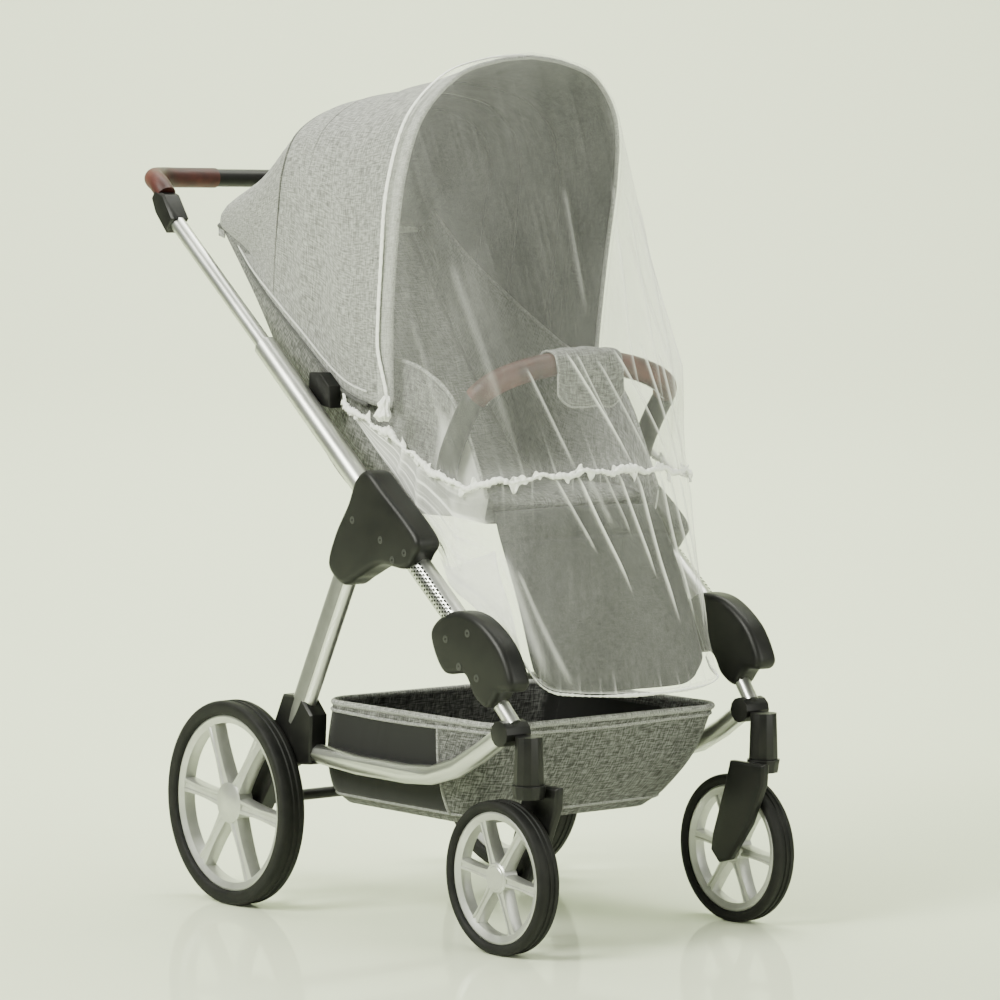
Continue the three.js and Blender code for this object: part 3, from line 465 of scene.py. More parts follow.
def copy_node(node, bevel=0.0):
    """A smooth-edged copy of a CAD node, shown in its place."""
    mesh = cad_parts[node].data.copy()
    mesh.materials.clear()
    work = bmesh.new()
    work.from_mesh(mesh)
    bmesh.ops.remove_doubles(work, verts=work.verts, dist=1e-5)
    bmesh.ops.dissolve_limit(work, angle_limit=math.radians(2), verts=work.verts, edges=work.edges)
    work.to_mesh(mesh)
    work.free()
    obj = add_object("shown_" + node, mesh)
    if bevel:
        modifier = obj.modifiers.new("edges", "BEVEL")
        modifier.width = bevel
        modifier.segments = 3
        modifier.limit_method = "ANGLE"
        modifier.angle_limit = math.radians(28)
        apply_modifiers(obj)
    shade_smooth(obj, 42)
    return obj


def place(obj, material, slot, *nodes):
    """Finish a piece: its material, its body and what it stands for. The slot is not used."""
    if material:
        obj.data.materials.clear()
        obj.data.materials.append(material)
    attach(obj, "root")
    if nodes:
        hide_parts(*nodes)
    return obj


# Materials, made of procedural nodes. Cloth is read in metres along its threads.

WEAVE_PERIOD = 0.0016
NET_PERIOD = 0.0023
NET_BIAS = 33
STREAK_THICK = 0.0017
STREAK_LONG = 0.011


class Paint:
    """One material and short ways to add nodes to it."""

    def __init__(self, name, **sockets):
        self.material = bpy.data.materials.new(name)
        self.material.use_nodes = True
        self.tree = self.material.node_tree
        self.shader = self.tree.nodes["Principled BSDF"]
        self.set(self.shader, sockets)

    def set(self, node, sockets):
        for name, value in sockets.items():
            self.feed(node.inputs[name.replace("_", " ")], value)

    def feed(self, socket, value):
        if isinstance(value, bpy.types.NodeSocket):
            self.tree.links.new(value, socket)
        else:
            socket.default_value = value

    def add(self, kind, props=None, **sockets):
        node = self.tree.nodes.new("ShaderNode" + kind)
        for name, value in (props or {}).items():
            setattr(node, name, value)
        self.set(node, sockets)
        return node

    def math(self, operation, a, b=0.0, c=0.0):
        node = self.add("Math", {"operation": operation})
        for socket, value in zip(node.inputs, (a, b, c)):
            self.feed(socket, value)
        return node.outputs[0]

    def uv(self, scale):
        where = self.add("UVMap", {"uv_map": "cloth"}).outputs["UV"]
        return self.add("Mapping", Vector=where, Scale=scale).outputs[0]

    def place(self, scale):
        where = self.add("TexCoord").outputs["Object"]
        return self.add("Mapping", Vector=where, Scale=scale).outputs[0]

    def noise(self, vector, detail=2.0):
        return self.add("TexNoise", Vector=vector, Scale=1.0, Detail=detail).outputs["Fac"]

    def drift(self, base, noise, share):
        """A value with a noise laid over it, as much up as down."""
        off = self.math("SUBTRACT", noise, 0.5)
        return self.math("ADD", base, self.math("MULTIPLY", off, share))

    def ramp(self, factor, *stops):
        node = self.add("ValToRGB", Fac=factor)
        ramp = node.color_ramp
        while len(ramp.elements) < len(stops):
            ramp.elements.new(0.5)
        for element, (at, color) in zip(ramp.elements, stops):
            element.position = at
            element.color = (*color, 1)
        return node.outputs["Color"]

    def attribute(self, name):
        return self.add("Attribute", {"attribute_name": name}).outputs["Fac"]

    def finish(self, color, height=None, distance=0.0, strength=0.0, **sockets):
        """The shader's colour, its bump and any other input that is a socket."""
        self.set(self.shader, {"Base_Color": color, **sockets})
        if height:
            node = self.add("Bump", Height=height, Distance=distance, Strength=strength)
            self.set(self.shader, {"Normal": node.outputs[0]})
        return self.material


def grey(value):
    """A faintly green grey, as all the greys of the set are."""
    return (value * 0.99, value, value * 0.955)


def threads(paint, vector):
    """Fine over and under weave, from two crossed sines."""
    split = paint.add("SeparateXYZ", Vector=vector)
    turns = 2 * math.pi / WEAVE_PERIOD
    warp = paint.math("SINE", paint.math("MULTIPLY", split.outputs[0], turns))
    weft = paint.math("SINE", paint.math("MULTIPLY", split.outputs[1], turns))
    return paint.math("MULTIPLY", warp, weft)


def melange(name, dark, mid, light, coarse=1.3, other=None):
    """Linen-like cloth whose yarns are each a slightly different grey."""
    paint = Paint(name, Roughness=0.9, Specular_IOR_Level=0.2, Sheen_Weight=0.15, Sheen_Roughness=0.5)
    thin, long = 1 / (STREAK_THICK * coarse), 1 / (STREAK_LONG * coarse)
    warp = paint.noise(paint.uv((thin, long, 1)), detail=1.5)
    weft = paint.noise(paint.uv((long, thin, 1)), detail=1.5)
    grain = paint.noise(paint.uv((1400, 1400, 1)))
    fine = threads(paint, paint.uv((1, 1, 1)))
    both = paint.math("ADD", paint.math("MULTIPLY", warp, 0.42), paint.math("MULTIPLY", weft, 0.42))
    tone = paint.math("ADD", both, paint.math("MULTIPLY", grain, 0.2))
    tone = paint.drift(tone, paint.noise(paint.place((5, 5, 5))), 0.08)
    shade = paint.ramp(tone, (0.38, grey(dark)), (0.5, grey(mid)), (0.62, grey(light)))
    if other:
        mix = paint.add("MixRGB", Fac=paint.attribute("other"), Color1=shade, Color2=(*grey(other), 1))
        shade = mix.outputs["Color"]
    height = paint.math("ADD", paint.math("MULTIPLY", fine, 0.3), tone)
    return paint.finish(shade, height, 0.0006, 0.6)


def net_paint():
    """Sheer net: fine mesh holes, denser where the cloth is creased or gathered."""
    paint = Paint("net", Roughness=0.75, Specular_IOR_Level=0.15, Sheen_Weight=0.1)
    color = paint.ramp(paint.noise(paint.uv((60, 60, 1))), (0.3, grey(0.86)), (0.7, grey(0.97)))
    turned = paint.add("VectorRotate", {"rotation_type": "Z_AXIS"}, Vector=paint.uv((1, 1, 1)),
                       Angle=math.radians(NET_BIAS))
    split = paint.add("SeparateXYZ", Vector=turned.outputs[0])
    strands = []
    for axis in (0, 1):
        wave = paint.math("SINE", paint.math("MULTIPLY", split.outputs[axis], 2 * math.pi / NET_PERIOD))
        strands.append(paint.math("POWER", paint.math("ABSOLUTE", wave), 0.6))
    mesh = paint.math("SUBTRACT", 1.0, paint.math("MULTIPLY", strands[0], strands[1]))
    alpha = paint.math("MULTIPLY_ADD", mesh, 0.19, 0.02)
    alpha = paint.drift(alpha, paint.noise(paint.uv((9, 5, 1)), detail=3), 0.16)
    alpha = paint.drift(alpha, paint.noise(paint.uv((260, 5, 1)), detail=3), 0.1)
    alpha = paint.math("ADD", alpha, paint.attribute("net_weight"))
    held = paint.math("MINIMUM", paint.math("MAXIMUM", alpha, 0.04), 0.97)
    return paint.finish(color, mesh, 0.0003, 0.3, Alpha=held)


def elastic_paint():
    paint = Paint("elastic", Roughness=0.8, Specular_IOR_Level=0.2, Sheen_Weight=0.3)
    tone = paint.noise(paint.place((240, 240, 240)), detail=3)
    return paint.finish(paint.ramp(tone, (0.3, grey(0.82)), (0.6, grey(0.96))), tone, 0.0008, 0.6)


def leather_paint():
    paint = Paint("leather", Specular_IOR_Level=0.4)
    wear = paint.noise(paint.place((28, 28, 28)), detail=5)
    color = paint.ramp(wear, (0.3, (0.022, 0.006, 0.005)), (0.52, (0.058, 0.012, 0.009)),
                       (0.72, (0.11, 0.026, 0.018)))
    grain = paint.add("TexVoronoi", Vector=paint.place((520, 520, 520)), Scale=1.0)
    return paint.finish(color, paint.math("ADD", grain.outputs["Distance"], wear), 0.0004, 0.5,
                        Roughness=paint.math("MULTIPLY_ADD", wear, 0.3, 0.35))


def metal_paint():
    paint = Paint("aluminium", Metallic=1.0)
    cloud = paint.noise(paint.place((14, 14, 14)), detail=4)
    grain = paint.noise(paint.place((1800, 1800, 1800)))
    return paint.finish(paint.ramp(cloud, (0.3, grey(0.62)), (0.7, grey(0.72))), grain, 0.00005, 0.4,
                        Roughness=paint.math("MULTIPLY_ADD", cloud, 0.12, 0.27))


def plastic_paint(name, low, high, roughness=0.42, grain=0.0001, level=0.5, metallic=0.0):
    paint = Paint(name, Specular_IOR_Level=level, Metallic=metallic)
    cloud = paint.noise(paint.place((40, 40, 40)), detail=4)
    fine = paint.noise(paint.place((2600, 2600, 2600)))
    return paint.finish(paint.ramp(cloud, (0.3, low), (0.7, high)), fine, grain, 0.5,
                        Roughness=paint.math("MULTIPLY_ADD", cloud, 0.14, roughness - 0.07))


NET = net_paint()
ELASTIC = elastic_paint()
LEATHER = leather_paint()
METAL = metal_paint()
HOOD_OUTSIDE = melange("hood_outside", 0.13, 0.25, 0.42, coarse=1.15)
HOOD_INSIDE = melange("hood_inside", 0.012, 0.028, 0.055)
# The near-black other colour of the seat cloth is painted shade, laid on the pad's side edges.
SEAT_CLOTH = melange("seat_cloth", 0.06, 0.16, 0.32, other=0.008)
SHELL_CLOTH = melange("shell_cloth", 0.04, 0.11, 0.24, other=0.6)
SHELL_INSIDE = melange("shell_inside", 0.06, 0.16, 0.32)
LEG_CLOTH = melange("leg_cloth", 0.008, 0.02, 0.045)
BASKET_CLOTH = melange("basket_cloth", 0.02, 0.08, 0.22, other=0.009)
BASKET_EDGE = melange("basket_edge", 0.1, 0.24, 0.5)
COVER_CLOTH = melange("cover_cloth", 0.05, 0.13, 0.27)
PIPING = melange("piping", 0.05, 0.08, 0.12, coarse=1.0)
PALE_TRIM = melange("pale_trim", 0.6, 0.72, 0.84, coarse=1.0)
BLACK = plastic_paint("black_plastic", (0.004, 0.004, 0.004), (0.009, 0.009, 0.008), grain=0.00012, level=0.3)
RUBBER = plastic_paint("rubber", (0.006, 0.006, 0.006), (0.013, 0.013, 0.012), 0.6, 0.0003, level=0.22)
RIM = plastic_paint("rim_plastic", grey(0.5), grey(0.6), 0.36, metallic=0.75)
THREAD = plastic_paint("thread", grey(0.5), grey(0.75), 0.8, 0.0002)
STRIP = plastic_paint("leg_strip", grey(0.16), grey(0.21), 0.4, metallic=0.6)
STEEL = plastic_paint("screw_steel", grey(0.02), grey(0.035), 0.35)


# The net. A panel's size is what its places across and down from 0 to 1 come to, in mm.

UPPER_SIZE, LOWER_SIZE = (480, 400), (480, 290)
UPPER_COLUMNS, LOWER_COLUMNS, PANEL_ROWS = 500, 540, 150
ROPE_SIDES = 14
BAND_SIDES = 12


def crowded(low, high, count, centre, strength=0.6):
    """Places from low to high, closer together round the centre."""
    even = np.linspace(0, 1, count)
    mid = (centre - low) / (high - low)
    pull = even + strength * np.sin(np.pi * even) * (mid - even) * 0.5
    return low + (high - low) * np.sort((pull - pull[0]) / (pull[-1] - pull[0]))


def gather_streaks(across, distance, reach, seed):
    """Fine uneven streaks that run out from an elastic edge and fade."""
    comb = waves(across, (173, seed, 0.4), (291, seed * 2.1, 0.3), (97, seed * 0.7, 0.3), (419, seed, 0.2))
    return np.maximum(comb, 0) ** 2 * np.exp(-distance / reach)


def upper_net():
    across = crowded(-1, 1, UPPER_COLUMNS, 0.1, 0.9)
    u, t = np.meshgrid(across, np.linspace(0, 1, 16)[:-1])
    hood_part = net_on_hood(BINDING_SET_BACK * 1.12 * (1 - t), u)
    hood_part += (net_rim(u) - net_on_hood(0 * u, u)) * smooth(t, 0.5, 1.0)[..., None]
    hood_dense = 0.1 + 0.25 * gather_streaks(u, t * 26, 12, 0.6)
    u, d = np.meshgrid(across, np.linspace(0, 1, PANEL_ROWS))
    tall = UPPER_SIZE[1]
    lift, dense = crease_fields(UPPER_CREASES, u, d, UPPER_SIZE)
    pleats = 0.6 * gather_streaks(u, (1 - d) * tall, 18, 1.7)
    billow = waves(u + d * 0.4, (7.0, 0.4, 1.0), (13.0, 2.0, 0.5))
    billow *= np.sin(np.pi * np.clip(d / BAR_DOWN, 0, 1))
    out = waist_out(leaned(u, LEAN_AT_WAIST))
    panel = upper_point(u, d) + out * (lift + pleats * 3.0 + billow * 1.2)[..., None]
    far_side = smooth(u, 0.24, 0.42) * 0.14
    edges = np.exp(-d * tall / 5.0) * 0.12 + np.exp(-(((d - 1) * tall) ** 2) / 150.0) * 0.1
    density = np.concatenate([hood_dense, dense + pleats * 0.45 + far_side + edges])
    grid = np.concatenate([hood_part, panel])
    return grid_object("net_front_panel", to_frame(grid), attributes={"net_weight": density})


def lower_net():
    across = crowded(-1.3, 1.3, LOWER_COLUMNS, 0.05, 0.9)
    u, d = np.meshgrid(across, np.linspace(0, 1, PANEL_ROWS))
    tall = LOWER_SIZE[1]
    lift, dense = crease_fields(LOWER_CREASES, u, d, LOWER_SIZE)
    pleats = 0.6 * gather_streaks(u, d * tall, 24, 1.7)
    near_hem = gather_streaks(u, (1 - d) * tall, 18, 2.9) * (1 - smooth(np.abs(u), 0.4, 0.6))
    billow = waves(u + d * 0.3, (9.0, 1.4, 1.0), (17.0, 0.3, 0.5)) * np.sin(np.pi * d)
    raised = lift + pleats * 3.5 + near_hem * 2.0 + billow * 1.6
    grid = lower_point(u, d) + waist_out(u) * raised[..., None]
    folds = np.maximum(waves(d + u * 0.05, (31, 0.4, 0.5), (53, 1.1, 0.35), (97, 2.0, 0.3)), 0) ** 1.3
    side = smooth(np.abs(u), 0.62, 0.9) * 0.1 + smooth(-u, 0.46, 0.62) * (0.26 + 0.75 * folds)
    hem_line = bell((1 - d) * tall, 2.2) * 0.4
    dense = dense + pleats * 0.5 + near_hem * 0.3 + side + hem_line
    return grid_object("net_skirt_panel", to_frame(grid), attributes={"net_weight": dense})


# The loose flap: net turned back double at the near side of the foot end,
# places across and down on the lower panel where its outline passes
FLAP_EDGE = table("along across down", [
    (0.0, -0.473, 0.46), (0.33, -0.458, 0.64), (0.66, -0.429, 0.8), (1.0, -0.406, 0.99),
])
FLAP_TOP, FLAP_FOOT, FLAP_HEM = -0.72, -0.41, 0.985


def loose_flap():
    w, a = np.meshgrid(np.linspace(0, 1, 30), np.linspace(0, 1, 60))
    edge = read(FLAP_EDGE, "along", a)
    hem_across = FLAP_TOP + (FLAP_FOOT - FLAP_TOP) * a
    across = hem_across + (edge["across"] - hem_across) * w
    down = FLAP_HEM + (edge["down"] - FLAP_HEM) * w
    lift = 3.4 + 1.6 * waves(a * 4 + w * 3, (3.0, 0.2, 0.6), (5.3, 1.4, 0.4))
    grid = lower_point(across, down) + waist_out(across) * lift[..., None]
    rim_line = np.maximum(bell(1 - w, 0.03), bell(a, 0.02))
    streaks = np.maximum(waves(w * 9 - a * 7, (1.0, 0.3, 1.0), (2.3, 1.0, 0.6)), 0)
    density = 0.5 + 0.35 * rim_line + 0.12 * streaks
    return grid_object("net_flap", to_frame(grid), attributes={"net_weight": density})


def gathered_elastic(name, path, radius, seed, bunch=1):
    """A scrunched elastic: a thin rope with uneven lumps of net round it."""
    path = to_frame(path)
    run = np.linspace(0, 1, len(path))
    length = np.linalg.norm(np.diff(path, axis=0), axis=1).sum()
    turns = length / 0.0085
    frill = waves(run * turns * 2 * np.pi, (1.0, seed, 0.5), (0.63, seed * 2, 0.35), (1.71, 1.1, 0.25))
    swell = waves(run * length * 61, (1.0, 0.4, 0.6), (0.37, 2.0, 0.5))
    radii = radius * (1 + 0.28 * frill + 0.3 * swell) * bunch
    rings = tube_rings(path, radii, ROPE_SIDES, squash=1.25 + 0.25 * swell)
    middle, run = path[:, None], run[:, None]
    around = np.sin(np.arange(ROPE_SIDES)[None] * 2.7 + run * turns * 3.3)
    lumps = 1 + 0.22 * around * np.sin(run * turns * 5.1 + seed)
    return rings_object(name, middle + (rings - middle) * lumps[..., None], 180)


def waist_elastic():
    across = np.linspace(-1.28, 1.28, 900)
    out = waist_out(across)
    path = waist_point(across) + out * 5.0
    path = path + points(0, 0, 2.4 * waves(across, (37, 0, 1.0), (83, 1.0, 0.5)))
    corner = 1 + 0.9 * bell(np.abs(across) - 1, 0.05)
    rope = gathered_elastic("waist_elastic", path, 0.0027, 1.3, corner)
    return join("waist_elastic", [rope, frill_strip(path, out)])


def frill_strip(path, out):
    """The scrunched edge of the net that stands above and below the waist elastic."""
    run = run_of(path)
    peaks = np.maximum(waves(run, (0.21, 0.3, 0.5), (0.083, 1.9, 0.6), (0.37, 0.8, 0.35)), 0) ** 1.6
    dips = np.maximum(waves(run, (0.17, 2.3, 0.5), (0.071, 0.4, 0.6), (0.33, 1.8, 0.4)), 0) ** 1.5
    rows = np.linspace(-1, 1, 9)[None]
    height = rows * np.where(rows > 0, (2.6 + 7.5 * peaks)[:, None], (2.6 + 8.5 * dips)[:, None])
    ripple = 1.9 * np.abs(rows) ** 0.8 * waves(run, (0.62, 0.2, 0.8), (0.93, 1.0, 0.5))[:, None]
    grid = path[:, None] + out[:, None] * ripple[..., None] + points(0, 0, height)
    strip = grid_object("frill", to_frame(grid))
    thicken(strip, 0.0006)
    return strip


def hood_band():
    """The flat elastic band that holds the net behind the hood's rim."""
    across = np.linspace(-0.985, 0.985, 420)
    along = BINDING_SET_BACK * (1 - 0.8 * smooth(np.abs(across), 0.86, 0.985))
    out = hood_out(along, across)
    path = hood_point(along, across) + out * (lift_on_hood(across) + NET_THICK / 2 + GAP + 1.6)[:, None]
    path = to_frame(path)
    half = 0.0034 * (1 + 0.08 * waves(across, (260, 0, 1.0), (410, 1, 0.6)))
    side = unit(np.cross(out, unit(np.gradient(path, axis=0))))
    rings = ovals(path, side, out, half, 0 * half + 0.0013, BAND_SIDES)
    return rings_object("hood_elastic_band", rings, 180)


def hem_roll():
    across = np.linspace(-0.5, 0.5, 300)
    hem = hem_point(across)
    path = hem + unit(hem - lower_point(across, 0 * across + 0.94)) * 3.0
    return gathered_elastic("hem_elastic_roll", path, 0.0013, 0.4)


def corner_gather(side):
    """Cloth bunched where the hood band meets the waist elastic."""
    top = station(np.array(float(side)), "waist") + np.array([side * 3.0, 0, 48])
    down = np.linspace(0, 1, 40)[:, None]
    turn = full_turn(48)[None]
    bunch = table("down wide deep", [
        (0, 4.5, 3.0), (0.25, 9.5, 6.5), (0.5, 8.0, 6.0), (0.8, 14.0, 8.5), (1.0, 8.0, 5.0),
    ])
    wide, deep = (np.interp(down, bunch["down"], bunch[name]) for name in ("wide", "deep"))
    frill = 1 + 0.16 * np.sin(turn * 9 + down * 5) + 0.1 * np.sin(turn * 5 - down * 9)
    x = side * (deep + deep * np.cos(turn) * frill)
    y = np.sin(turn) * wide * frill + down * 3
    z = -33 * down + 1.2 * np.sin(turn * 6)
    return rings_object("corner_gather_" + WORD[side], to_frame(top + points(x, y, z)), 180)


net_front = place(upper_net(), NET, "net_mesh", "net_upper")
net_skirt = place(join("net_skirt", [lower_net(), loose_flap()]), NET, "net_mesh", "net_lower")
place(waist_elastic(), ELASTIC, "elastic", "waist_ruffle")
place(hood_band(), ELASTIC, "elastic", "hood_binding")
place(hem_roll(), ELASTIC, "elastic", "hem_elastic")
for side, word in SIDES:
    place(corner_gather(side), ELASTIC, "elastic", "corner_bunch_" + word)


# The hood

def hood_cloth():
    u, a = np.meshgrid(np.linspace(-1, 1, 150), np.linspace(0, 1, 70))
    spans = [(0.0, 0.33), (0.33, 0.6), (0.6, 0.78), (0.78, 1.0)]
    slack = sum(np.where((a >= s) & (a <= e), np.sin(np.pi * (a - s) / (e - s)), 0) for s, e in spans)
    wrinkle = waves(a * 3 + u * 0.8, (6.0, 0.3, 1.0), (11.0, 1.9, 0.6)) * waves(u, (3.0, 0.8, 1.0))
    tuck = bell(a - 0.315 + 0.1 * np.abs(u), 0.012) * smooth(np.abs(u), 0.3, 0.6)
    fade = smooth(a, 0.14, 0.25) * (1 - smooth(np.abs(u), 0.9, 1.0))
    depth = (slack * -3.5 - wrinkle * 2.2 + tuck * 2.4) * fade
    obj = grid_object("hood_cloth", to_frame(hood_point(a, u) + hood_out(a, u) * depth[..., None]))
    two_sided(obj, HOOD_OUTSIDE, HOOD_INSIDE, SHEET)
    return obj


def two_sided(obj, outside, inside, thickness):
    """Thicken a sheet whose two faces are of different cloth."""
    obj.data.materials.append(outside)
    obj.data.materials.append(inside)
    thicken(obj, thickness, 1, even=False)


def cord_along(path, radius, material):
    return rings_object("cord", tube_rings(to_frame(path), radius, CORD_SIDES), 180, material)


def hood_trims():
    """Piping on the rim and the lower edge, and the seams over the inner bows."""
    across = np.linspace(-1, 1, 220)
    zero = 0 * across
    parts = [cord_along(hood_point(zero, across) + [0, -1.4, 0], 0.0030, HOOD_OUTSIDE)]
    for at in (0.33, 0.6, 0.78):
        inside = hood_point(zero + at, across) - hood_out(zero + at, across) * 3.4
        parts.append(cord_along(inside, 0.0022, HOOD_INSIDE))
    for at in (0.6, 0.78):
        outside = hood_point(zero + at, across) + hood_out(zero + at, across) * 0.9
        parts.append(cord_along(outside, 0.0011, HOOD_OUTSIDE))
    along = np.linspace(0.14, 1.0, 120)
    for side, _ in SIDES:
        edge = side + 0 * along
        parts.append(cord_along(hood_point(along, edge) + [0, 0, -2.2], 0.0034, PIPING))
        line = hood_point(along, edge * 0.975) + hood_out(along, edge) * 2.0
        parts.append(cord_along(line, 0.0014, PALE_TRIM))
    back = np.linspace(-1, 1, 80)
    parts.append(cord_along(hood_point(1 + 0 * back, back) + [0, 1.5, -1.0], 0.0032, PIPING))
    tail = np.linspace(-0.8, 0.8, 60)
    edge = hood_point(1 + 0 * tail, tail)
    strip = grid_object("tail", to_frame(np.array([edge + [0, 2.0, 1.0 - 4.0 * k] for k in range(5)])))
    thicken(strip, 0.002)
    strip.data.materials.append(HOOD_OUTSIDE)
    return join("hood_trims", [*parts, strip])


hood = place(hood_cloth(), None, "hood_cloth", "hood_shell")
place(hood_trims(), None, "hood_cloth")

# The seat: profile down the back and out to the front, and its turned-up sides

SEAT = table("along y z top_y top_z half", [
    (0.0, 388, 934, 352, 964, 173), (0.2, 318, 836, 262, 900, 166), (0.42, 228, 716, 152, 832, 169),
    (0.58, 150, 622, 72, 790, 167), (0.68, 84, 574, 20, 768, 163), (0.8, -10, 560, -50, 750, 156),
    (0.92, -108, 558, -118, 700, 149.6), (1.0, -172, 552, -180, 584, 149),
])
SHELL_SECTION = table("across x rise", [
    (0.0, 0.0, 0.0), (0.4, 0.54, 0.0), (0.65, 0.94, 0.0), (0.8, 1.0, 0.14), (1.0, 1.0, 1.0),
])
LINER_THICK = 26
LINER_HALF = 138


def seat_frame(along):
    row = read(SEAT, "along", along)
    before = read(SEAT, "along", np.maximum(along - 0.02, 0))
    after = read(SEAT, "along", np.minimum(along + 0.02, 1))
    run = unit(points(0 * along, after["y"] - before["y"], after["z"] - before["z"]))
    inward = points(0 * along, run[..., 2], -run[..., 1])
    side = points(0 * along, row["top_y"] - row["y"], row["top_z"] - row["z"])
    return points(0 * along, row["y"], row["z"]), inward, side, row["half"]


def seat_bucket():
    u, a = np.meshgrid(np.linspace(-1, 1, 61), np.linspace(0, 1, 60))
    at, _, side, half = seat_frame(a)
    section = read(SHELL_SECTION, "across", np.abs(u))
    grid = at + side * section["rise"][..., None] + points(np.sign(u) * section["x"] * half, 0, 0)
    cream = smooth(np.abs(u), 0.66, 0.7) * smooth(a, 0.862, 0.874) * (1 - smooth(grid[..., 2], 676, 694))
    obj = grid_object("seat_bucket", to_frame(grid), attributes={"other": cream})
    two_sided(obj, SHELL_CLOTH, SHELL_INSIDE, 0.0028)
    return obj


def seat_edging():
    """Pale piping along the top edges of the seat's sides."""
    at, _, side_up, half = seat_frame(np.linspace(0, 1, 120))
    paths = [at + side_up + unit(side_up) * 1.2 + points(side * half, 0, 0) for side, _ in SIDES]
    return join("seat_edging", [cord_along(path, 0.0026, BASKET_EDGE) for path in paths])


# Channels sewn in the pads: place along the seat and how deep they pull in
PAD_CHANNELS = [(0.23, 4.0), (0.41, 5.0), (0.575, 9.0), (0.76, 4.0)]


def seat_pad():
    """The padded liner, with a seam down the middle, sewn channels and painted shade darkening its side
    edges.
    """
    u, a = np.meshgrid(np.linspace(-1, 1, 72), 0.03 + 0.95 * np.linspace(0, 1, 130))
    at, inward, _, _ = seat_frame(a)
    middle = at + inward * (HOOD_THICK / 2 + 2.6 + LINER_THICK / 2 + u * u * 8)[..., None]
    middle = middle + points(u * LINER_HALF, 0, 0)
    edge = (1 - np.abs(u) ** 7) ** 0.5
    ends = np.minimum(1, np.minimum(a - 0.03, 0.98 - a) / 0.03) ** 0.5
    half = LINER_THICK / 2 * 0.97 * np.maximum(edge * ends, 0.04)
    dip = sum(deep * bell(a - channel, 0.011) for channel, deep in PAD_CHANNELS)
    dip = dip + 4.0 * bell(u, 0.045) + 3.0 * bell(np.abs(u) - 0.78, 0.03)
    crown = 1.6 * np.cos(np.pi * (np.abs(u) - 0.4))
    crown = crown + 0.8 * waves(a * 9 + u * 3, (5.0, 0.2, 1.0), (9.1, 2.0, 0.6))
    front = middle + inward * (half - dip * np.minimum(1, edge * ends) + crown * edge * ends)[..., None]
    back = middle - inward * half[..., None]
    # The 'other' mask is painted shade: the side edges go near-black where shade falls in the creases beside
    # the wings.
    return closed_pad("seat_pad", to_frame(front), to_frame(back), smooth(np.abs(u), 0.86, 0.94))


def closed_pad(name, front, back, other=None):
    """A closed body from a front and a back grid of points that share their edges."""
    rows, cols = front.shape[:2]
    count = rows * cols
    faces = grid_faces(rows, cols)
    faces += [tuple(count + v for v in reversed(face)) for face in grid_faces(rows, cols)]
    at = np.arange(count).reshape(rows, cols)
    border = np.concatenate([at[0], at[1:, -1], at[-1, -2::-1], at[-2:0:-1, 0]]).tolist()
    faces += [(b, a, count + a, count + b) for a, b in zip(border, border[1:] + border[:1])]
    uvs = thread_uvs(front)
    attributes = {} if other is None else {"other": np.stack([other, 0 * other])}
    return mesh_object(name, np.stack([front, back]), faces, 70, np.stack([uvs, uvs]), attributes)


LEG = table("along y z half thick", [
    (0.0, -180.4, 566, 138, 16), (0.15, -199, 536, 144, 22), (0.5, -240, 452, 146, 22),
    (0.85, -272, 370, 147, 22), (0.95, -283, 350, 145, 16), (1.0, -289, 343, 140, 8),
])


def leg_pad():
    u, a = np.meshgrid(np.linspace(-1, 1, 64), np.linspace(0, 1, 90))
    leg = read(LEG, "along", a)
    dip = (1 - u * u) * 6
    low = smooth(a, 0.86, 1.0)
    foot = low * (1 - np.abs(u) ** 5)
    corner = low * np.maximum(np.abs(u) - 0.7, 0) * np.sign(u)
    middle = points(u * leg["half"], leg["y"] + dip, leg["z"] + dip * 0.4)
    middle = middle - points(corner * 60, 4.0 * foot, 15.0 * foot)
    ahead = read(LEG, "along", np.minimum(a + 0.02, 1))
    behind = read(LEG, "along", np.maximum(a - 0.02, 0))
    run = unit(points(0 * a, ahead["y"] - behind["y"], ahead["z"] - behind["z"]))
    out = points(0 * a, run[..., 2], -run[..., 1])
    edge = (1 - np.abs(u) ** 8) ** 0.5
    ends = np.minimum(1, np.minimum(a, 1 - a) / 0.05) ** 0.5
    half = leg["thick"] / 2 * np.maximum(edge * ends, 0.05)
    seam = 2.4 * bell(a - 0.2, 0.01) + 1.6 * bell(np.abs(u) - 0.9, 0.02)
    soft = 0.8 * waves(a * 5 + u * 2, (5.0, 1.0, 1.0), (8.0, 0.2, 0.5))
    front = middle + out * (half - (seam - soft) * edge * ends)[..., None]
    return closed_pad("leg_pad", to_frame(front), to_frame(middle - out * half[..., None]))


bucket = place(seat_bucket(), None, "seat_cloth", "seat_shell")
place(seat_edging(), None, "seat_cloth")
seat = place(seat_pad(), SEAT_CLOTH, "seat_cloth", "seat_liner")
legs = place(leg_pad(), LEG_CLOTH, "leg_cloth", "leg_rest")

# The bumper bar: leather with a sewn seam, its elbows and the cloth cover

BAR = table("across x y z", [
    (0.0, 0, -196, 763), (0.3, 66, -194, 758), (0.6, 122, -190, 745), (0.85, 156, -184, 729),
    (1.0, 167, -170, 712),
])
BAR_END = 0.957
ELBOW_START = 0.967
ELBOW_X = 167.3
COVER_FRONT, COVER_BACK = 58, 20
SLEEVE_SIDES, STITCH_PLACES = 40, 120


def bar_point(across):
    row = read(BAR, "across", np.abs(across))
    return points(np.sign(across) * row["x"], row["y"], row["z"])


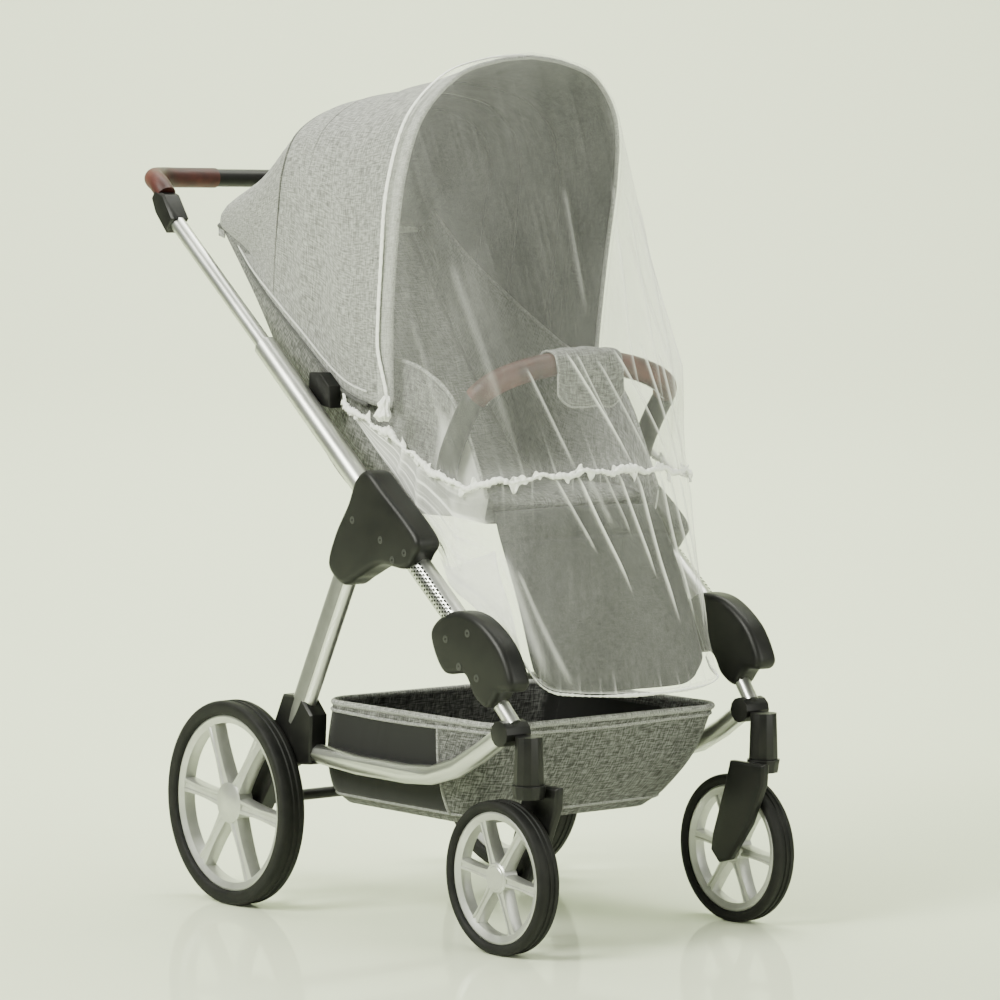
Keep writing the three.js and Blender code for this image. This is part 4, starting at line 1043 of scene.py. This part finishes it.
def sleeve(name, path, radius, seam_turn, stitch_gap=0.006):
    """A leather sleeve on a curved bar, with a seam groove and stitches along it."""
    path = to_frame(path)
    middle = path[:, None]
    away = np.abs((full_turn(SLEEVE_SIDES) - seam_turn + np.pi) % (2 * np.pi) - np.pi)
    groove = 1 - 0.05 * bell(away, 0.14)
    rings = middle + (tube_rings(path, radius, SLEEVE_SIDES) - middle) * groove[None, :, None]
    parts = [rings_object(name + "_body", rings, 60, LEATHER)]
    reach = run_of(path)
    fine = tube_rings(path, radius * 1.012, STITCH_PLACES)
    for k, at in enumerate(np.arange(0.004, reach[-1] - 0.004, stitch_gap)):
        ends = []
        for shift, angle in ((-0.0024, -0.17), (0.0024, 0.17)):
            turned = seam_turn + (-angle if k % 2 else angle)
            column = int(round(turned / (2 * np.pi) * STITCH_PLACES)) % STITCH_PLACES
            ends.append([np.interp(at + shift, reach, fine[:, column, c]) for c in range(3)])
        axis_at = np.array([np.interp(at, reach, path[:, c]) for c in range(3)])
        mid = axis_at + (np.mean(ends, axis=0) - axis_at) * 1.03
        stitch = tube_rings([ends[0], mid, ends[1]], [0.0003, 0.00065, 0.0003], 6)
        parts.append(rings_object("stitch", stitch, 180, THREAD))
    return join(name, parts)


def bar_cover():
    """The flap of cloth folded over the middle of the bar, longer in front, with rounded corners."""
    inner = BAR_RADIUS + GAP + HOOD_THICK / 2 + 0.9
    section = np.array([
        (-1.02, -1.0), (-1.04, -0.72), (-1.05, -0.45), (-1.06, -0.2), (-1.0, 0), (-0.74, 0.74), (0, 1.03),
        (0.74, 0.74), (1.0, 0), (1.02, -0.1), (0.98, -0.34),
    ])
    outline = catmull(np.column_stack([0 * section[:, 0], section]), 70)
    along = np.linspace(-1, 1, 60)[:, None]
    at = bar_point(-0.01 + 0.25 * along[:, 0])
    corner = 1 - 0.34 * np.maximum(np.abs(along) - 0.5, 0) ** 2 / 0.25
    side, up = outline[None, :, 1], outline[None, :, 2]
    front = np.arange(len(outline))[None] < len(outline) / 2
    height = up * np.where(up > 0, inner, np.where(front, COVER_FRONT * corner, COVER_BACK))
    depth = np.clip(-height / COVER_FRONT, 0, 1)
    y = at[:, 1:2] + side * inner * 1.1 + 1.6 * np.sin(along * 5 + 0.6) * depth - 2.5 * depth**2 * front
    grid = points(at[:, :1], y, at[:, 2:3] + height + 0.6 * np.sin(along * 9))
    obj = grid_object("bar_cover", to_frame(grid))
    thicken(obj, SHEET)
    edges = (grid[0], grid[-1], grid[:, 0], grid[:, -1])
    return obj, join("bar_cover_piping", [cord_along(path, 0.0017, BASKET_EDGE) for path in edges])


def elbow(side):
    foot = [(side * ELBOW_X, y, z) for y, z in ((-149, 684), (-122, 636), (-112, 586))]
    path = np.array([bar_point(np.array(side * ELBOW_START)), bar_point(np.array(side * 1.0)), *foot])
    radii = np.interp(np.linspace(0, 1, 40), [0, 0.1, 1], [0.0145, 0.0150, 0.0150])
    rings = tube_rings(to_frame(catmull(path, 40)), radii, 28, up=(1, 0, 0))
    return rings_object("bumper_elbow_shown_" + WORD[side], rings)


bar_run = bar_point(np.linspace(-BAR_END, BAR_END, 90))
place(sleeve("bumper_leather", bar_run, BAR_RADIUS / 1000, math.radians(250)), None, "leather", "bumper_bar")
cover, cover_piping = bar_cover()
place(cover, COVER_CLOTH, "hood_cloth", "bumper_cover")
place(cover_piping, None, "hood_cloth")
for side, word in SIDES:
    place(elbow(side), BLACK, "black_plastic", "bumper_elbow_" + word)

# The push handle's grips, covered in leather

HANDLE = [
    (219, 466, 988), (218, 484, 1003), (208, 512, 1012), (184, 530, 1014), (150, 538, 1014), (84, 540, 1014),
]
GRIP_RADIUS = 0.0145


def handle_grip(side):
    path = catmull([(side * x, y, z) for x, y, z in HANDLE], 90)
    seam = math.radians(250 if side < 0 else 290)
    return sleeve("grip_leather_" + WORD[side], path, GRIP_RADIUS, seam, 0.0055)


for side, word in SIDES:
    place(handle_grip(side), None, "leather", "handle_grip_" + word)


# Wheels

SPOKES = 6
RIM_SHARE = 0.86


def lathe(name, profile, centre, segments, angle, material=None):
    """A body turned round a level axle: profile points are (radius, place along X), in mm."""
    turn = full_turn(segments)[:, None]
    radius, x = np.array(profile, float).T
    grid = to_frame(points(x[None], radius * np.cos(turn), radius * np.sin(turn)) + centre)
    grid[..., 2] = np.maximum(grid[..., 2], 0.0)
    faces = grid_faces(segments, len(x), around=True, closed=True)
    return mesh_object(name, grid, faces, angle, material=material)


def mirrored(profile):
    """A wheel's profile with its other side."""
    return profile + [(radius, -x) for radius, x in reversed(profile)]


def wheel_centre(wheel, side):
    height = wheel["radius"] * math.cos(math.pi / WHEEL_FACETS)
    return np.array([side * wheel["x"], wheel["y"], height])


def tyre(wheel, side, name):
    r, half = wheel["radius"], wheel["width"] / 2
    seat = r * RIM_SHARE
    depth = r - 7 - seat
    quarter = [math.pi / 2 * t for t in np.linspace(0, 1, 9)]
    profile = [(seat, -half * 0.62), (seat + 1.5, -half * 0.86), (seat + 4, -half * 0.95)]
    profile += [(seat + 4 + (depth - 4) * t / quarter[-1], -half * (0.95 + 0.05 * math.sin(t)))
                for t in quarter[1:]]
    profile += [(r - 5 + 5 * math.sin(t), -half * (0.98 - 0.42 * (1 - math.cos(t)))) for t in quarter]
    profile += [(r, -half * 0.42), (r - 1.6, -half * 0.36), (r - 1.6, -half * 0.1), (r, -half * 0.04)]
    return lathe(name, mirrored(profile), wheel_centre(wheel, side), 120, 50)


def rim(wheel, side, name):
    """Six-spoked rim with a raised hub and a stepped outer ring."""
    r, half = wheel["radius"], wheel["rim"] / 2
    centre = wheel_centre(wheel, side)
    outer, hub = r * RIM_SHARE - 0.3, r * 0.2
    ring = [(outer, -half), (outer - 2.5, -half - 1.0), (outer - 5, -half), (outer - 11, -half + 3),
            (outer - 11.5, -half + 5)]
    disc = [(0.01, -half - 1.5), (hub * 0.72, -half - 1.5), (hub * 0.78, -half - 0.4),
            (hub * 0.9, -half - 0.4), (hub, -half + 1.2)]
    parts = [lathe("ring", mirrored(ring), centre, 120, 40, RIM)]
    parts.append(lathe("hub", mirrored(disc), centre, 72, 35, RIM))
    for k in range(SPOKES):
        turned = math.radians(360 / SPOKES * k + 7)
        parts.append(spoke(wheel, centre, turned, hub * 0.9, outer - 8, half))
    return join(name, parts)


def spoke(wheel, centre, angle, start, end, half):
    """A tapered spoke with a shallow groove down each face."""
    face = np.array([(-1, -0.62), (-0.86, -1), (-0.45, -1), (-0.3, -0.84),
                     (0.3, -0.84), (0.45, -1), (0.86, -1), (1, -0.62)])
    section = np.concatenate([face, -face])
    t = np.linspace(0, 1, 6)[:, None]
    reach = start + (end - start) * t
    across = section[None, :, 0] * wheel["radius"] * 0.07 * (1.12 - 0.3 * np.sin(math.pi * t))
    deep = section[None, :, 1] * (half - 1.2) * (1.0 - 0.12 * t)
    y = reach * math.cos(angle) - across * math.sin(angle)
    z = reach * math.sin(angle) + across * math.cos(angle)
    return rings_object("spoke", to_frame(points(deep, y, z) + centre), 40, RIM)


for side, word in SIDES:
    for end, wheel in (("rear", REAR_WHEEL), ("front", FRONT_WHEEL)):
        place(tyre(wheel, side, f"wheel_tyre_{end}_{word}"), RUBBER, "tyre", f"tyre_{end}_{word}")
        place(rim(wheel, side, f"wheel_rim_{end}_{word}"), None, "rim_plastic", f"rim_{end}_{word}")

# The frame: CAD bodies with softened edges

LEG_TOP, LEG_FOOT = (219, 24, 500), (214, 158, 262)
LEG_HALF_DEEP, LEG_HALF_WIDE = 0.013, 0.0205


def rear_leg(side):
    """The rear leg: an oval tube with a darker flat strip let into its outer face."""
    ends = np.array([(side * x, y, z) for x, y, z in (LEG_TOP, LEG_FOOT)], float)
    path = to_frame(ends[0] + (ends[1] - ends[0]) * np.linspace(0, 1, 12)[:, None])[:, None]
    out = np.array([side, 0, 0])
    wide = np.cross(unit(path[-1, 0] - path[0, 0]), [1, 0, 0]) * LEG_HALF_WIDE
    turn = full_turn(40)[:, None]
    ring = np.cos(turn) * LEG_HALF_DEEP * out + np.sin(turn) * wide
    face = np.array([(0.6, -0.62), (0.86, -0.55), (0.99, -0.3), (1.04, 0.0),
                     (0.99, 0.3), (0.86, 0.55), (0.6, 0.62)])
    strip = face[:, :1] * (LEG_HALF_DEEP + 0.0004) * out + face[:, 1:] * wide
    tube = rings_object("tube", path + ring[None], 60, METAL)
    return join("rear_leg_" + WORD[side], [tube, rings_object("strip", path + strip[None], 60, STRIP)])


for side, word in SIDES:
    place(rear_leg(side), None, "aluminium", "rear_leg_" + word)
for node in ("handle_tube", "side_tube", "front_leg", "floor_tube"):
    for word in ("near", "far"):
        name = f"{node}_{word}"
        place(copy_node(name), METAL, "aluminium", name)
for node, edge in (
    ("rear_bracket", 0.003), ("caster_head", 0.002), ("caster_fork", 0.0025),
    ("front_pin", 0.0), ("handle_joint", 0.003), ("seat_mount", 0.002), ("hood_hinge", 0.0015),
):
    for word in ("near", "far"):
        name = f"{node}_{word}"
        place(copy_node(name, edge), BLACK, "black_plastic", name)
for node in ("rear_axle", "handle_adjuster"):
    place(copy_node(node), BLACK, "black_plastic", node)

# The hub and the knee: smooth plates with rounded edges and screws

HUB_OUTLINE = [
    (-8, 606), (-34, 618), (-66, 596), (-142, 536), (-134, 508), (-112, 492), (-60, 494), (-10, 474),
    (22, 462), (54, 486), (40, 528), (10, 572),
]
KNEE_OUTLINE = [
    (-160, 411), (-196, 440), (-251, 440), (-303, 408), (-330, 366), (-326, 348), (-303, 344), (-280, 322),
    (-252, 334), (-230, 362), (-186, 362),
]
HUB_SCREWS = [(-66, 528), (-92, 503), (-118, 514), (-4, 551)]
KNEE_SCREWS = [(-242, 417), (-196, 406), (-224, 372), (-261, 360)]


def soft_plate(name, outline, from_x, to_x, edge, count=132):
    """A plate whose outline is smoothed and whose edges are rounded over."""
    closed = [*outline[-2:], *outline, *outline[:3]]
    run = catmull([(0, y, z) for y, z in closed], count * 2)[:, 1:]
    off = np.linalg.norm(run - outline[0], axis=1)
    ring = run[np.argmin(off[:count]):count + np.argmin(off[count:])]
    after = np.roll(ring, -1, axis=0)
    step = unit(after - np.roll(ring, 1, axis=0))
    normal = np.column_stack([step[:, 1], -step[:, 0]])
    if np.sum(ring[:, 0] * after[:, 1] - after[:, 0] * ring[:, 1]) < 0:
        normal = -normal
    turns = np.linspace(0, math.pi / 2, 7)
    stops = [(from_x + edge * (1 - math.cos(t)), edge * (1 - math.sin(t))) for t in turns]
    stops += [(to_x - edge * (1 - math.cos(t)), edge * (1 - math.sin(t))) for t in turns[::-1]]
    rings = [np.column_stack([np.full(len(ring), x), ring - normal * inset]) for x, inset in stops]
    return rings_object(name, to_frame(np.array(rings)), 50, BLACK)


def screw(x, y, z, side, radius=0.0042):
    """A sunk round screw head with a socket."""
    stops = np.array([(-0.002, 1.25), (0.35, 1.25), (0.6, 1.0), (0.5, 0.82), (0.5, 0.42), (-0.3, 0.36),
                      (-0.3, 0.02)])
    out, wide = side * 0.0008 * stops[:, :1], radius * stops[:, 1:]
    turn = full_turn(24)[None]
    rings = to_frame([x, y, z]) + points(out, np.cos(turn) * wide, np.sin(turn) * wide)
    return rings_object("screw", rings, 40, STEEL)


def plated(name, outline, screws, inner_x, outer_x, edge, side):
    from_x, to_x = sorted((side * inner_x, side * outer_x))
    plate = soft_plate(name, outline, from_x, to_x, edge)
    return join(name, [plate] + [screw(side * outer_x, y, z, side) for y, z in screws])


for side, word in SIDES:
    hub = plated("hub_plate_" + word, HUB_OUTLINE, HUB_SCREWS, 199, 240, 8, side)
    place(hub, None, "black_plastic", "frame_hub_" + word)
    knee = plated("knee_plate_" + word, KNEE_OUTLINE, KNEE_SCREWS, 197, 232, 9, side)
    place(knee, None, "black_plastic", "frame_knee_" + word)

# Holes drilled in rows in the outer face of the lower side tubes

TUBE_X, TUBE_RADIUS = 216.4, 16.5
HOLES_FROM, HOLES_TO = (-104, 508), (-196, 432)
HOLE_ROWS, HOLE_COLUMNS = 17, 5


def tube_holes(side):
    """Small dimples, each a shallow cup seen on the face of the tube, dark with painted shade for the inside
    of a drilled hole.
    """
    start, end = (np.array([side * TUBE_X, *at]) for at in (HOLES_FROM, HOLES_TO))
    run = unit(end - start)
    level = np.array([side, 0, 0])
    turn = full_turn(10)[:, None]
    parts = []
    for row in range(HOLE_ROWS):
        for column in range(HOLE_COLUMNS):
            at = start + (end - start) * (row + 0.5 * (column % 2)) / HOLE_ROWS
            swing = math.radians(-2 + 13 * column)
            out = level * math.cos(swing) + np.cross(run, level) * side * math.sin(swing)
            ring = np.cos(turn) * run + np.sin(turn) * np.cross(out, run)
            rings = [at + out * (TUBE_RADIUS + 0.12 + lift) + ring * size
                     for lift, size in ((-0.4, 1.6), (0.1, 1.6), (0.1, 0.1))]
            parts.append(rings_object("hole", to_frame(np.array(rings)), 30))
    return join("tube_holes", parts)


for side, _ in SIDES:
    # The black of each hole is painted shade, not a material of the tube.
    place(tube_holes(side), RUBBER, "black_plastic")

# The basket: rounded rectangles from the rim down, with darker side panels behind PANEL_Y

BASKET = table("level z front back half", [
    (0.0, 292, -268, 130, 198), (0.5, 226, -234, 148, 198), (0.86, 172, -188, 154, 182),
    (1.0, 152, -168, 146, 162),
])
CORNER = 46.0
SLACK = 3.0
PANEL_Y = -135
BAND_LEVELS = (0.07, 0.915)


def basket_ring(level, inset, slack=0.0):
    """One level of the basket, corners rounded, sides bowed in; slack lets cloth hang between corners."""
    row = read(BASKET, "level", np.array(level))
    half, front, back = row["half"] - inset, row["front"] + inset, row["back"] - inset
    corners = [(half - CORNER, back - CORNER, 0), (-half + CORNER, back - CORNER, 90),
               (-half + CORNER, front + CORNER, 180), (half - CORNER, front + CORNER, 270)]
    arcs = []
    for x, y, start in corners:
        turn = np.radians(start + np.linspace(0, 90, 12))
        arcs.append(points(x + np.cos(turn) * CORNER, y + np.sin(turn) * CORNER, row["z"]))
    ring = []
    for arc, following in zip(arcs, arcs[1:] + arcs[:1]):
        share = np.linspace(0, 1, 72)[1:-1, None]
        ring += [arc, arc[-1] + (following[0] - arc[-1]) * share]
    ring = np.concatenate(ring)
    inward = ring[:, :2] - [0, (front + back) / 2]
    sag = np.sin(math.pi * min(level, 1)) * 3.0
    ring[:, :2] -= inward / np.linalg.norm(inward, axis=1, keepdims=True) * sag
    ring[:, 2] -= slack * (1 - level) * np.sin(np.linspace(0, 2 * np.pi, len(ring)) * 2) ** 2
    return ring


def hoop(ring, radius):
    return cord_along(np.concatenate([ring, ring[:1]]), radius, BASKET_EDGE)


def basket_bag():
    levels = np.linspace(0, 1, 26)
    walls = np.array([basket_ring(level, 1.5, SLACK) for level in levels])
    centre = walls[-1].mean(0)
    floor = [walls[-1] + (centre - walls[-1]) * share - [0, 0, 2.5 * share]
             for share in (0.25, 0.5, 0.75, 0.98)]
    grid = np.concatenate([walls, np.array(floor)])
    level = np.concatenate([levels, np.ones(len(floor))])[:, None]
    across = np.abs(grid[..., 0]) / np.abs(grid[..., 0]).max(axis=1, keepdims=True)
    behind = smooth(grid[..., 1], PANEL_Y - 2, PANEL_Y + 2)
    panel = smooth(across, 0.93, 0.985) * behind * smooth(level, 0.07, 0.08) * (1 - smooth(level, 0.9, 0.93))
    obj = grid_object("basket_bag", to_frame(grid), around=True, attributes={"other": panel})
    thicken(obj, SHEET)
    return obj


def basket_trims():
    low, high = BAND_LEVELS
    parts = [hoop(basket_ring(0.0, 1.5) + [0, 0, 1.0], 0.0042)]
    parts += [hoop(basket_ring(level, 0.4, SLACK), 0.0024) for level in BAND_LEVELS]
    for side, _ in SIDES:
        slope = []
        for level in np.linspace(low, high, 20):
            ring = basket_ring(level, 0.0)
            ring = ring[ring[:, 0] * side >= 0]
            slope.append(ring[np.argmin(np.abs(ring[:, 1] - PANEL_Y))])
        slope = np.array(slope)
        slope[:, 1] = PANEL_Y
        parts.append(cord_along(slope, 0.0026, BASKET_EDGE))
    return join("basket_trims", parts)


bag = place(basket_bag(), BASKET_CLOTH, "basket_cloth", "basket")
place(basket_trims(), None, "basket_cloth")

# The stage: floor, backdrop, lights and camera

CAMERA_PLACE = (-3.4402, -4.3901, 0.9382)
CAMERA_TURN = (86.151, 0.0, -38.776)
CAMERA_LENS = 144.5


def from_camera(right, up, ahead):
    """A place given as seen from the camera: metres right, up and ahead of the object."""
    heading = math.radians(-CAMERA_TURN[2])
    x = math.cos(heading) * right + math.sin(heading) * ahead
    y = -math.sin(heading) * right + math.cos(heading) * ahead
    return (x, y, up)


def backdrop():
    """Floor and wall in one sweep, square to the camera."""
    turn = np.linspace(0, math.pi / 2, 24)[1:]
    sweep = [(1.6 + 2.6 * math.sin(t), 2.6 * (1 - math.cos(t))) for t in turn]
    profile = [(-7.0, 0.0), (1.6, 0.0), *sweep, (4.2, 9.0)]
    rows = [[from_camera(x, up - 0.0005, far) for x in (-9, 9)] for far, up in profile]
    return grid_object("backdrop", np.array(rows))


def backdrop_paint():
    paint = Paint("backdrop", Roughness=0.6, Specular_IOR_Level=0.0)
    cloud = paint.noise(paint.place((0.4, 0.4, 0.4)), detail=1)
    paint.finish(paint.ramp(cloud, (0.2, (0.76, 0.82, 0.62)), (0.8, (0.78, 0.84, 0.64))))
    mirror = paint.add("BsdfAnisotropic", Roughness=0.07, Color=(0.9, 0.95, 0.85, 1))
    both = paint.add("MixShader", Fac=0.13)
    paint.feed(both.inputs[1], paint.shader.outputs[0])
    paint.feed(both.inputs[2], mirror.outputs[0])
    paint.feed(paint.tree.nodes["Material Output"].inputs["Surface"], both.outputs[0])
    return paint.material


def area_light(name, place_at, look_at, size, power):
    light = bpy.data.lights.new(name, "AREA")
    light.shape = "RECTANGLE"
    light.size, light.size_y = size
    light.energy = power
    light.color = (0.985, 1.0, 0.9)
    obj = add_object(name, light)
    obj.location = place_at
    away = Vector(place_at) - Vector(look_at)
    obj.rotation_euler = away.to_track_quat("Z", "Y").to_euler()


stage = backdrop()
stage.data.materials.append(backdrop_paint())

AIM = (0, 0, 0.6)
area_light("key", from_camera(-2.6, 3.0, -2.2), AIM, (1.8, 1.8), 300)
area_light("fill", from_camera(3.2, 1.8, -2.6), AIM, (2.6, 2.6), 120)
area_light("top", from_camera(0.2, 3.6, 0.8), AIM, (3.0, 2.0), 95)
area_light("wall", from_camera(0.0, 3.4, 1.2), from_camera(0, 0.9, 4.4), (5.0, 1.6), 240)

world = bpy.data.worlds.new("studio")
world.use_nodes = True
sky = world.node_tree.nodes["Background"].inputs
sky["Color"].default_value = (0.9, 0.96, 0.8, 1)
sky["Strength"].default_value = 0.34
bpy.context.scene.world = world

camera_data = bpy.data.cameras.new("camera")
camera_data.lens = CAMERA_LENS
camera_data.sensor_width = 36
camera = add_object("camera", camera_data)
camera.location = CAMERA_PLACE
camera.rotation_euler = [math.radians(angle) for angle in CAMERA_TURN]
bpy.context.scene.camera = camera
